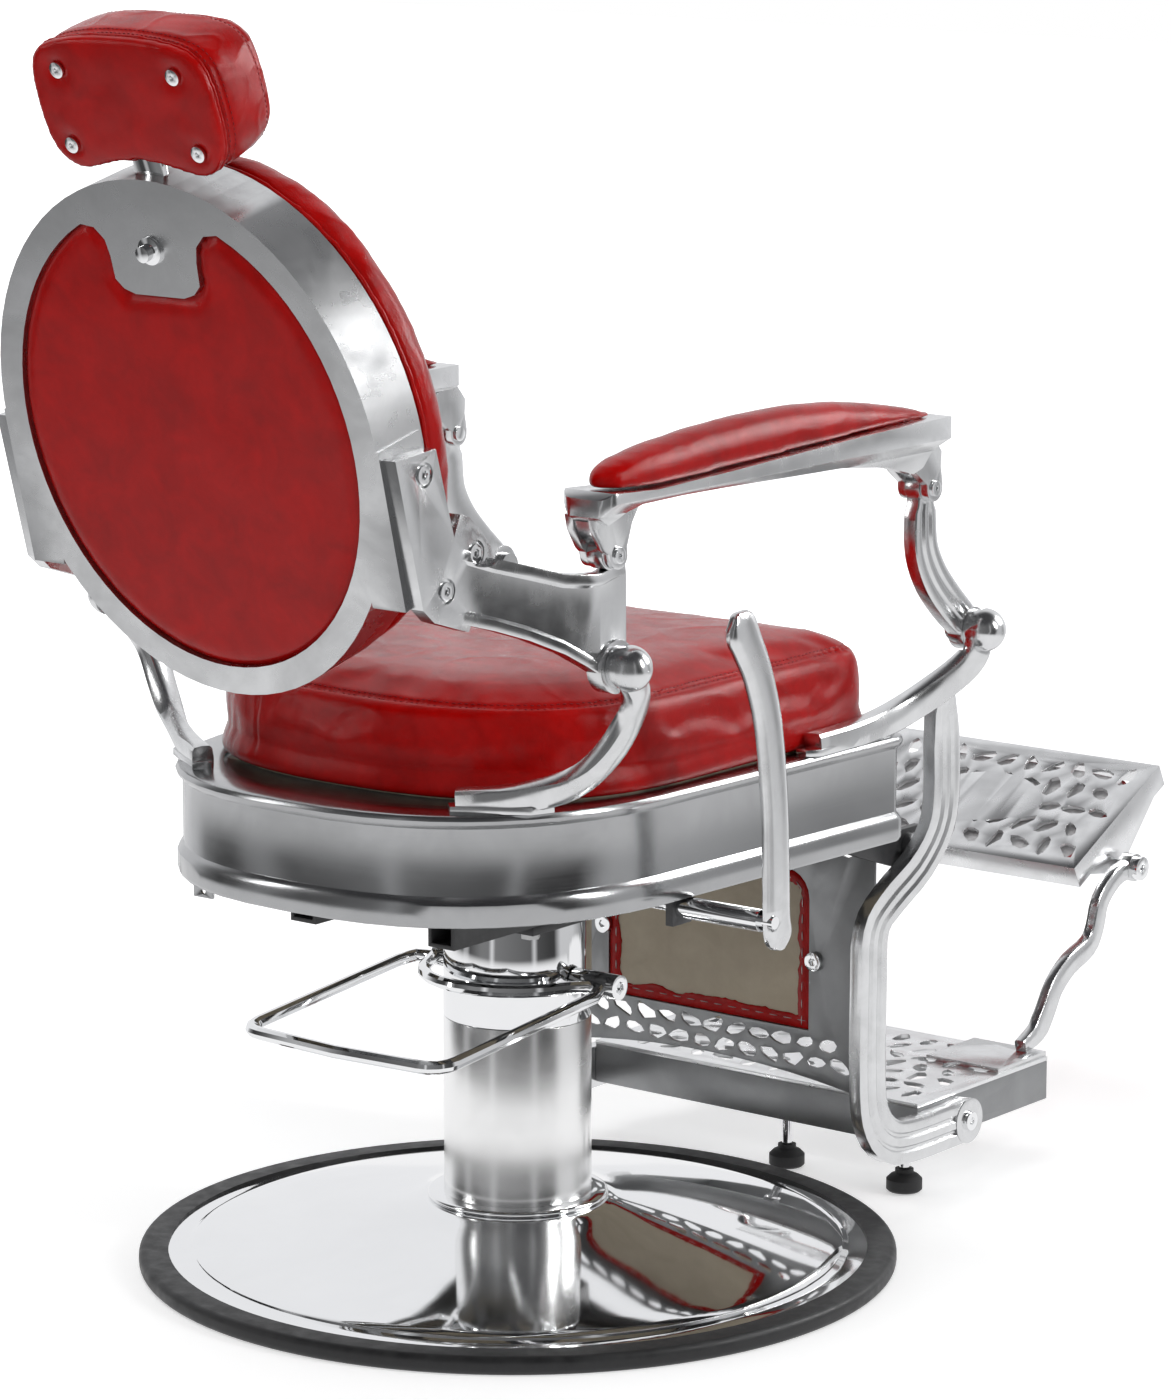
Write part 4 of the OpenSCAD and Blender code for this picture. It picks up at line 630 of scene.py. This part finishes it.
def stuffed(name, values, held):
    # Cover of a pad: remeshed finely, blown up as cloth, its move capped, then smoothed
    piece = copyShape(name)
    remesh = piece.modifiers.new("remesh", "REMESH")
    remesh.mode = "VOXEL"
    remesh.voxel_size = values["voxel"]
    shrink = piece.modifiers.new("shrink", "DISPLACE")
    shrink.mid_level = 0
    shrink.strength = -values["shrink"]
    smooth = piece.modifiers.new("relax", "SMOOTH")
    smooth.iterations = values.get("relax", 4)
    smooth.factor = clothRules["factor"]
    bakeModifiers(piece)
    rest = [v.co.copy() for v in piece.data.vertices]
    group = piece.vertex_groups.new(name="held")
    group.add([v.index for v in piece.data.vertices if held(v.co)], 1.0, "REPLACE")
    cloth = piece.modifiers.new("cloth", "CLOTH")
    cloth.settings.use_pressure = True
    cloth.settings.uniform_pressure_force = values["pressure"]
    cloth.settings.effector_weights.gravity = 0
    cloth.settings.vertex_group_mass = "held"
    cloth.settings.quality = clothRules["quality"]
    cloth.collision_settings.use_collision = False
    cloth.collision_settings.use_self_collision = False
    for step in range(1, clothRules["steps"] + 1):
        bpy.context.scene.frame_set(step)
    bakeModifiers(piece)
    for vertex, start in zip(piece.data.vertices, rest):
        move = vertex.co - start
        if move.length > values["cap"]:
            vertex.co = start + move * (values["cap"] / move.length)
    bpy.context.scene.frame_set(1)
    relax = piece.modifiers.new("relax", "SMOOTH")
    relax.iterations = clothRules["relax"]
    finer = piece.modifiers.new("finer", "SUBSURF")
    finer.levels = finer.render_levels = 1
    bakeModifiers(piece)
    mesh = piece.data
    bpy.data.objects.remove(piece)
    print("stage: stuffed", name, len(mesh.vertices), "points")
    return mesh


def treeOf(mesh):
    return BVHTree.FromPolygons([v.co for v in mesh.vertices], [p.vertices for p in mesh.polygons])


def loopAround(tree, place, level, count, reach):
    # Points and normals where a cut across a piece, at a level along its depth, meets its side
    found = []
    end = place @ Vector((0, level, 0))
    for i in range(count):
        a = math.radians(360 * i / count)
        start = place @ Vector((reach * math.cos(a), level, reach * math.sin(a)))
        hit, normal, index, far = tree.ray_cast(start, (end - start).normalized())
        if hit:
            found.append((hit, normal))
    return found


def pressSeam(mesh, spots, width, depth):
    # Draws the cover in along a sewn line
    tree = KDTree(len(spots))
    for i, (spot, normal) in enumerate(spots):
        tree.insert(spot, i)
    tree.balance()
    moved = []
    for vertex in mesh.vertices:
        spot, index, far = tree.find(vertex.co)
        if far < 3 * width:
            moved.append((vertex, vertex.normal * depth * math.exp(-(far / width) ** 2)))
    for vertex, move in moved:
        vertex.co = vertex.co - move
    mesh.update()


def ripple(x, z, wave, height, seed):
    return height * noise.noise(Vector((x * wave, z * wave, seed)))


# A fold starts where its noise is this sharp, and has its full height that much further on
sharpFrom, sharpRun = 0.55, 0.45


def crumple(mesh, values, heightOf):
    # Shallow folds and dents above the pad's fixed side, so that the cover never lies quite flat
    count = len(mesh.vertices)
    spots = [0.0] * (3 * count)
    outs = [0.0] * (3 * count)
    mesh.vertices.foreach_get("co", spots)
    mesh.vertex_normals.foreach_get("vector", outs)
    across, along, up = values["stretch"]
    for i in range(count):
        x, y, z = spots[3 * i:3 * i + 3]
        share = min(1, max(0, (heightOf(Vector((x, y, z))) - values["start"]) / values["run"]))
        if share <= 0:
            continue
        spot = Vector((x * across, y * along, z * up))
        wave = noise.noise(spot * values["wave"] + Vector((values["seed"], 0, 0)))
        fold = 1 - abs(noise.noise(spot * values["fold"] + Vector((0, values["seed"], 3)))) * 2
        fold = max(0, fold - sharpFrom) / sharpRun
        move = share * (values["swell"] * wave + values["ridge"] * fold * fold)
        for k in range(3):
            spots[3 * i + k] += outs[3 * i + k] * move
    mesh.vertices.foreach_set("co", spots)
    mesh.update()


def meshOf(bm, name):
    bmesh.ops.recalc_face_normals(bm, faces=bm.faces)
    mesh = bpy.data.meshes.new(name)
    bm.to_mesh(mesh)
    bm.free()
    return mesh


def ringAt(bm, centre, side, out, radius, sides):
    turns = [2 * math.pi * k / sides for k in range(sides)]
    return [bm.verts.new(centre + (side * math.cos(t) + out * math.sin(t)) * radius) for t in turns]


def joinRings(bm, one, two):
    count = len(one)
    for k in range(count):
        bm.faces.new((one[k], one[(k + 1) % count], two[(k + 1) % count], two[k]))


def weltMesh(name, spots, radius, lift):
    # A closed round cord along a sewn line
    bm = bmesh.new()
    rings = []
    count = len(spots)
    for i, (spot, normal) in enumerate(spots):
        along = (spots[(i + 1) % count][0] - spots[i - 1][0]).normalized()
        side = along.cross(normal).normalized()
        out = side.cross(along).normalized()
        rings.append(ringAt(bm, spot + out * lift, side, out, radius, sides=8))
    for i in range(count):
        joinRings(bm, rings[i], rings[(i + 1) % count])
    return meshOf(bm, name)


# Along one stitch, in shares of its length and radius: place, thickness and height
stitchShape = ((-0.5, 0.45, -0.4), (-0.3, 0.95, 0.3), (0, 1, 0.5), (0.3, 0.95, 0.3), (0.5, 0.45, -0.4))
stitchLift = 0.0001


def stitchMesh(name, spots, pitch, length, radius):
    # Short raised threads at an even pitch along a sewn line
    points = [s[0] for s in spots] + [spots[0][0]]
    normals = [s[1] for s in spots] + [spots[0][1]]
    steps = [0.0]
    for a, b in zip(points, points[1:]):
        steps.append(steps[-1] + (b - a).length)
    bm = bmesh.new()
    where = pitch / 2
    k = 0
    while where < steps[-1]:
        while steps[k + 1] < where:
            k += 1
        share = (where - steps[k]) / max(steps[k + 1] - steps[k], 1e-9)
        spot = points[k].lerp(points[k + 1], share)
        out = normals[k].lerp(normals[k + 1], share).normalized()
        along = (points[k + 1] - points[k]).normalized()
        side = along.cross(out).normalized()
        rings = []
        for shift, size, up in stitchShape:
            centre = spot + along * shift * length + out * (stitchLift + up * radius)
            rings.append(ringAt(bm, centre, side, out, radius * size, sides=6))
        for one, two in zip(rings, rings[1:]):
            joinRings(bm, one, two)
        bm.faces.new(list(reversed(rings[0])))
        bm.faces.new(rings[-1])
        where += pitch
    return meshOf(bm, name)


def addStitches(name, line, size, body, finish="thread"):
    addPiece(name, stitchMesh(name, line, **size), finish, body)


def shifted(spots, tree, along):
    # The same line moved a little, and dropped back on the cover
    moved = []
    for spot, normal in spots:
        hit, out, index, far = tree.find_nearest(spot + along)
        moved.append((hit, out))
    return moved


# Seat cushion

seatPad = {"voxel": 0.006, "shrink": 0.0035, "pressure": 2.0, "cap": 0.0045, "base": 0.4953, "held": 0.008,
           "seamLevel": 0.073, "seam": {"width": 0.0028, "depth": 0.0024}, "rowGap": 0.0035,
           "stitch": {"pitch": 0.0058, "length": 0.0036, "radius": 0.0004}}
sideSeam = {"x": 0.105, "low": 0.012, "tall": 0.058, "points": 24,
            "press": {"width": 0.0022, "depth": 0.0013}}
seatWrap = {"over": 0.016, "floor": 0.4878, "out": 0.0125, "taper": 0.3}
seatFolds = {"stretch": (1, 1, 1.6), "wave": 7.0, "fold": 16.0, "swell": 0.0009, "ridge": 0.0005, "seed": 3.1,
             "start": 0.01, "run": 0.02}


def wrapBoard(mesh):
    # The cover's lower edge rolls down over the board that the pad is fixed to
    low = min(v.co.z for v in mesh.vertices)
    for vertex in mesh.vertices:
        share = max(0, 1 - (vertex.co.z - low) / seatWrap["over"])
        if share <= 0:
            continue
        share = share * share * (3 - 2 * share)
        outward = Vector((vertex.co.x, vertex.co.y, 0))
        outward.normalize()
        vertex.co.z -= (low - seatWrap["floor"]) * share
        vertex.co += outward * seatWrap["out"] * share * (1 - share * seatWrap["taper"])


def sideSeamLine(tree):
    # The upright seam on the cushion's rear, to one side of its middle
    line = []
    for i in range(sideSeam["points"]):
        height = seatPad["base"] + sideSeam["low"] + sideSeam["tall"] * i / (sideSeam["points"] - 1)
        hit, normal, index, far = tree.ray_cast(Vector((sideSeam["x"], 0.5, height)), Vector((0, -1, 0)))
        if hit:
            line.append((hit, normal))
    return line


def makeSeatCushion():
    base = seatPad["base"]
    mesh = stuffed("seat_cushion", seatPad, lambda co: co.z < base + seatPad["held"])
    crumple(mesh, seatFolds, lambda co: co.z - base)
    wrapBoard(mesh)
    tree = treeOf(mesh)
    upright = Matrix.Rotation(math.radians(90), 4, "X")
    seam = loopAround(tree, upright, base + seatPad["seamLevel"], count=300, reach=0.5)
    pressSeam(mesh, seam, **seatPad["seam"])
    pressSeam(mesh, sideSeamLine(tree), **sideSeam["press"])
    tree = treeOf(mesh)
    piece = addPiece("seatCushion", mesh, "creasedVinyl", "seat")
    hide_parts("seat_cushion")
    for i, rise in enumerate((seatPad["rowGap"], -seatPad["rowGap"])):
        row = shifted(seam, tree, Vector((0, 0, rise)))
        addStitches("seatStitches" + str(i), row, seatPad["stitch"], "seat")


makeSeatCushion()

# Back cushion

backPad = {"voxel": 0.006, "shrink": 0.003, "pressure": 2.5, "cap": 0.004, "from": 0.0583, "held": 0.004,
           "weltLevel": 0.0655, "weltSeam": {"width": 0.0035, "depth": 0.0022},
           "welt": {"radius": 0.0021, "lift": 0.0008},
           "seamLevel": 0.098, "seam": {"width": 0.003, "depth": 0.0016},
           "stitch": {"pitch": 0.006, "length": 0.0038, "radius": 0.0004}}
backFolds = {"stretch": (1, 1, 1), "wave": 8.0, "fold": 22.0, "swell": 0.0012, "ridge": 0.0006, "seed": 8.4,
             "start": 0.006, "run": 0.02}


def makeBackCushion():
    inward = backPlace.inverted()
    held = backPad["from"] + backPad["held"]
    mesh = stuffed("back_cushion", backPad, lambda co: (inward @ co).y > -held)
    crumple(mesh, backFolds, lambda co: -(inward @ co).y - backPad["from"])
    tree = treeOf(mesh)
    rear = loopAround(tree, backPlace, -backPad["weltLevel"], count=240, reach=0.4)
    front = loopAround(tree, backPlace, -backPad["seamLevel"], count=240, reach=0.4)
    pressSeam(mesh, rear, **backPad["weltSeam"])
    pressSeam(mesh, front, **backPad["seam"])
    tree = treeOf(mesh)
    piece = addPiece("backCushion", mesh, "creasedVinyl", "back")
    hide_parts("back_cushion")
    rear = shifted(rear, tree, Vector((0, 0, 0)))
    addPiece("backWelt", weltMesh("backWelt", rear, **backPad["welt"]), "vinyl", "back")
    front = shifted(front, tree, Vector((0, 0, 0)))
    addStitches("backStitches", front, backPad["stitch"], "back")


makeBackCushion()

# Rear panel of the back, padded thinly inside the frame's window

rearPanel = {"halfWide": 0.2085, "halfTall": 0.229, "edge": 0.009, "window": 0.025, "under": 0.0066,
             "proud": 0.0, "roll": 0.016, "rear": 0.0092, "gap": 0.0008, "rings": 64, "around": 200,
             "crowd": 0.8, "swell": {"wave": 14, "height": 0.0007, "seed": 1},
             "folds": {"wave": 90, "height": 0.00045, "seed": 4}, "foldMiddle": 0.006, "foldReach": 0.007}
panelTab = {"half": 0.047, "low": 0.128, "corner": 0.016, "flareFrom": 0.03, "flareRun": 0.026,
            "flareOut": 0.024}


def tabDistance(x, z):
    # Distance from the tab that hangs into the window, less than nothing inside it
    flare = max(0, min(1, (z - panelTab["low"] - panelTab["flareFrom"]) / panelTab["flareRun"]))
    half = panelTab["half"] + panelTab["flareOut"] * flare ** 3
    corner = panelTab["corner"]
    dx, dz = abs(x) - half + corner, panelTab["low"] + corner - z
    return math.hypot(max(dx, 0), max(dz, 0)) + min(max(dx, dz), 0) - corner


def panelDepth(x, z):
    # How far in the panel lies: rolled under at the window's edge and a little uneven within it
    a, b = rearPanel["halfWide"] - rearPanel["window"], rearPanel["halfTall"] - rearPanel["window"]
    inside = (1 - math.hypot(x / a, z / b)) * min(a, b)
    gap = min(inside, tabDistance(x, z)) - rearPanel["gap"]
    if gap <= 0:
        return rearPanel["under"]
    t = min(1, gap / rearPanel["roll"])
    rise = math.sqrt(max(0, 1 - (1 - t) ** 2))
    depth = rearPanel["under"] + (rearPanel["proud"] - rearPanel["under"]) * rise
    edge = math.exp(-((gap - rearPanel["foldMiddle"]) / rearPanel["foldReach"]) ** 2)
    folds = ripple(x, z, **rearPanel["folds"]) * edge
    return depth - ripple(x, z, **rearPanel["swell"]) * t + folds


def makeRearPanel():
    bm = bmesh.new()
    rows = []
    a, b = rearPanel["halfWide"] - rearPanel["edge"], rearPanel["halfTall"] - rearPanel["edge"]
    n = rearPanel["around"]
    turns = [2 * math.pi * k / n for k in range(n)]
    centre = bm.verts.new(backPlace @ Vector((0, -panelDepth(0, 0), 0)))
    for i in range(1, rearPanel["rings"] + 1):
        share = (i / rearPanel["rings"]) ** rearPanel["crowd"]
        row = []
        for t in turns:
            x, z = a * share * math.cos(t), b * share * math.sin(t)
            row.append(bm.verts.new(backPlace @ Vector((x, -panelDepth(x, z), z))))
        rows.append(row)
    rim = [Vector((a * math.cos(t), -rearPanel["rear"], b * math.sin(t))) for t in turns]
    rows.append([bm.verts.new(backPlace @ spot) for spot in rim])
    for k in range(n):
        bm.faces.new((centre, rows[0][k], rows[0][(k + 1) % n]))
    for one, two in zip(rows, rows[1:]):
        for k in range(n):
            bm.faces.new((one[k], two[k], two[(k + 1) % n], one[(k + 1) % n]))
    bm.faces.new(list(reversed(rows[-1])))
    piece = addPiece("rearPanel", meshOf(bm, "rearPanel"), "vinyl", "back")
    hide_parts("back_panel")


makeRearPanel()

# Headrest: a thin padded rear panel on a boxed cushion

headPad = {"voxel": 0.0045, "shrink": 0.002, "pressure": 4.0, "cap": 0.006, "from": 0.0093, "held": 0.003,
           "rearLevel": 0.0175, "rearSeam": {"width": 0.0022, "depth": 0.0014}, "rearGap": 0.0028,
           "frontLevel": 0.068, "frontSeam": {"width": 0.0024, "depth": 0.0014}, "frontGap": 0.003,
           "stitch": {"pitch": 0.0048, "length": 0.0030, "radius": 0.00035}}
headFolds = {"stretch": (1, 1, 1), "wave": 14.0, "fold": 34.0, "swell": 0.0009, "ridge": 0.0006, "seed": 5.5,
             "start": 0.004, "run": 0.01}
headPanel = {"voxel": 0.0022, "relax": 12, "thick": 0.0075, "halfWide": 0.098, "halfTall": 0.056,
             "screws": ((-0.064, 0.027), (0.064, 0.027), (-0.070, -0.040), (0.070, -0.040)),
             "puff": 0.0022, "dimple": 0.0030, "dimpleWidth": 0.010, "pull": 1.2, "waves": 0.0005, "wave": 40,
             "weltLevel": 0.0078, "welt": {"radius": 0.0015, "lift": 0.0002}}


def makeHeadrest():
    inward = headPlace.inverted()
    held = headPad["from"] + headPad["held"]
    mesh = stuffed("headrest_cushion", headPad, lambda co: (inward @ co).y > -held)
    crumple(mesh, headFolds, lambda co: -(inward @ co).y - headPad["from"])
    tree = treeOf(mesh)
    rear = loopAround(tree, headPlace, -headPad["rearLevel"], count=220, reach=0.25)
    front = loopAround(tree, headPlace, -headPad["frontLevel"], count=220, reach=0.25)
    pressSeam(mesh, rear, **headPad["rearSeam"])
    pressSeam(mesh, front, **headPad["frontSeam"])
    tree = treeOf(mesh)
    piece = addPiece("headrestCushion", mesh, "creasedVinyl", "headrest")
    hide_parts("headrest_cushion")
    outward = (headPlace.to_3x3() @ Vector((0, 1, 0))).normalized()
    rows = ((rear, headPad["rearGap"]), (rear, -headPad["rearGap"]), (front, headPad["frontGap"]))
    for i, (line, step) in enumerate(rows):
        row = shifted(line, tree, outward * step)
        addStitches("headStitches" + str(i), row, headPad["stitch"], "headrest")


def makeHeadPanel():
    # The CAD board's outline, puffed behind and drawn in at the four screws
    piece = copyShape("headrest_board")
    remesh = piece.modifiers.new("remesh", "REMESH")
    remesh.mode = "VOXEL"
    remesh.voxel_size = headPanel["voxel"]
    smooth = piece.modifiers.new("relax", "SMOOTH")
    smooth.iterations = headPanel["relax"]
    bakeModifiers(piece)
    mesh = piece.data
    bpy.data.objects.remove(piece)
    inward = headPlace.inverted()
    thick = headPanel["thick"]
    for vertex in mesh.vertices:
        spot = inward @ vertex.co
        if spot.y < -thick:
            continue
        near = min(math.hypot(spot.x - x, spot.z - z) for x, z in headPanel["screws"])
        share = (spot.y + thick) / thick
        edge = max(abs(spot.x) / headPanel["halfWide"], abs(spot.z) / headPanel["halfTall"])
        puff = headPanel["puff"] * max(0, 1 - edge ** 6)
        sink = headPanel["dimple"] * math.exp(-(near / headPanel["dimpleWidth"]) ** 2)
        waves = headPanel["waves"] * noise.noise(spot * headPanel["wave"])
        spot.y += share * (puff - sink * headPanel["pull"] + waves)
        vertex.co = headPlace @ spot
    mesh.update()
    piece = addPiece("headrestPanel", mesh, "vinyl", "headrest")
    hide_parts("headrest_board")
    edge = loopAround(treeOf(mesh), headPlace, -headPanel["weltLevel"], count=220, reach=0.25)
    addPiece("headWelt", weltMesh("headWelt", edge, **headPanel["welt"]), "vinyl", "headrest")


makeHeadrest()
makeHeadPanel()

# Arm pads

armPad = {"voxel": 0.004, "shrink": 0.0012, "pressure": 3.0, "cap": 0.003, "relax": 6,
          "held": 0.012, "railX": 0.286, "railHalf": 0.02}
armFolds = {"stretch": (1, 0.6, 1), "wave": 12.0, "fold": 30.0, "swell": 0.0004, "ridge": 0.0002, "seed": 2.2,
            "start": 0.014, "run": 0.01}


def makeArmPad(side):
    name = "arm_pad_" + side
    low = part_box(name)[0][2]

    def onRail(co):
        return co.z < low + armPad["held"] and abs(abs(co.x) - armPad["railX"]) < armPad["railHalf"]

    mesh = stuffed(name, armPad, onRail)
    crumple(mesh, armFolds, lambda co: co.z - low)
    piece = addPiece("armPad" + side.capitalize(), mesh, "creasedVinyl", "arm_" + side)
    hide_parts(name)


makeArmPad("left")
makeArmPad("right")

# Calf pad and flip footrest pad

calfPad = {"voxel": 0.005, "shrink": 0.0025, "pressure": 4.0, "cap": 0.006, "rear": -0.3033, "held": 0.003,
           "middle": 0.256, "seamLevel": -0.335, "seam": {"width": 0.003, "depth": 0.0015}, "rowGap": 0.004,
           "stitch": {"pitch": 0.006, "length": 0.0038, "radius": 0.0004}}
calfFolds = {"stretch": (1, 1, 1), "wave": 10.0, "fold": 24.0, "swell": 0.001, "ridge": 0.0006, "seed": 6.6,
             "start": 0.005, "run": 0.01}
# The profile goes across the hem: share of its width, and how far it stands off the board
calfHem = {"half": 0.1195, "low": 0.1765, "high": 0.3295, "corner": 0.0255, "face": -0.293, "width": 0.0125,
           "steps": {"low": 60, "side": 34, "corner": 14, "top": 44},
           "profile": ((0.0, 0.0004), (0.06, 0.0012), (0.5, 0.0015), (0.94, 0.0011), (1.0, 0.0002)),
           "waver": {"wave": 38, "height": 0.0045, "seed": 2},
           "ragged": {"wave": 170, "height": 0.0022, "seed": 5}, "swell": {"wave": 90, "height": 0.0004},
           "thick": 0.0008, "stapleIn": 0.008, "stapleOut": 0.0021,
           "staple": {"pitch": 0.0165, "length": 0.0095, "radius": 0.0004}}
flipPad = {"voxel": 0.004, "shrink": 0.0012, "pressure": 3.0, "cap": 0.003}


def makeCalfPad():
    mesh = stuffed("calf_pad", calfPad, lambda co: co.y > calfPad["rear"] - calfPad["held"])
    crumple(mesh, calfFolds, lambda co: calfPad["rear"] - co.y)
    tree = treeOf(mesh)
    place = Matrix.Translation((0, 0, calfPad["middle"]))
    seam = loopAround(tree, place, calfPad["seamLevel"], count=220, reach=0.4)
    pressSeam(mesh, seam, **calfPad["seam"])
    tree = treeOf(mesh)
    piece = addPiece("calfPad", mesh, "creasedVinyl", "seat")
    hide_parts("calf_pad")
    row = shifted(seam, tree, Vector((0, -calfPad["rowGap"], 0)))
    addStitches("calfStitches", row, calfPad["stitch"], "seat")


def hemPath():
    # Just inside the leg panel's window, all the way round: x, z and the way in from the edge
    path = []
    w, low, high, r = calfHem["half"], calfHem["low"], calfHem["high"], calfHem["corner"]
    steps = calfHem["steps"]

    def corner(middle, first):
        for i in range(steps["corner"]):
            a = math.radians(first + 90 * i / steps["corner"])
            inX, inZ = -math.cos(a), -math.sin(a)
            path.append((middle + r * math.cos(a), high - r + r * math.sin(a), inX, inZ))

    for i in range(steps["low"]):
        path.append((-w + 2 * w * i / steps["low"], low, 0, 1))
    for i in range(steps["side"]):
        path.append((w, low + (high - r - low) * i / steps["side"], -1, 0))
    corner(w - r, 0)
    for i in range(steps["top"]):
        path.append((w - r - 2 * (w - r) * i / steps["top"], high, 0, -1))
    corner(-w + r, 90)
    for i in range(steps["side"]):
        path.append((-w, high - r - (high - r - low) * i / steps["side"], 1, 0))
    return path


def makeCalfHem():
    # Cover folded over the board and trimmed by hand, a thin turned edge with an uneven cut, held by staples
    bm = bmesh.new()
    rows = []
    face = calfHem["face"]
    path = hemPath()
    count = len(path)
    for x, z, inX, inZ in path:
        width = calfHem["width"] + (ripple(x, z, **calfHem["waver"]) + ripple(x, z, **calfHem["ragged"]))
        row = []
        for share, lift in calfHem["profile"]:
            swell = ripple(x, z, seed=share * 4, **calfHem["swell"])
            y = face + lift + swell * min(1, 4 * share * (1 - share) + 0.1)
            row.append(bm.verts.new((x + inX * width * share, y, z + inZ * width * share)))
        rows.append(row)
    for i in range(count):
        one, two = rows[i], rows[(i + 1) % count]
        for k in range(len(calfHem["profile"]) - 1):
            bm.faces.new((one[k], two[k], two[k + 1], one[k + 1]))
    piece = addPiece("calfHem", meshOf(bm, "calfHem"), "creasedVinyl", "seat")
    solid = piece.modifiers.new("thick", "SOLIDIFY")
    solid.thickness = calfHem["thick"]
    solid.offset = 0
    line = []
    for x, z, inX, inZ in path:
        inward = calfHem["stapleIn"]
        spot = Vector((x + inX * inward, face + calfHem["stapleOut"], z + inZ * inward))
        line.append((spot, Vector((0, 1, 0))))
    addStitches("calfStaples", line, calfHem["staple"], "seat", "steel")


def makeFlipPad():
    mesh = stuffed("flip_pad", flipPad, lambda co: False)
    piece = addPiece("flipPad", mesh, "backed", "flip_footrest")
    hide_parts("flip_pad")


makeCalfPad()
makeCalfHem()
makeFlipPad()
print("stage: upholstery finished")
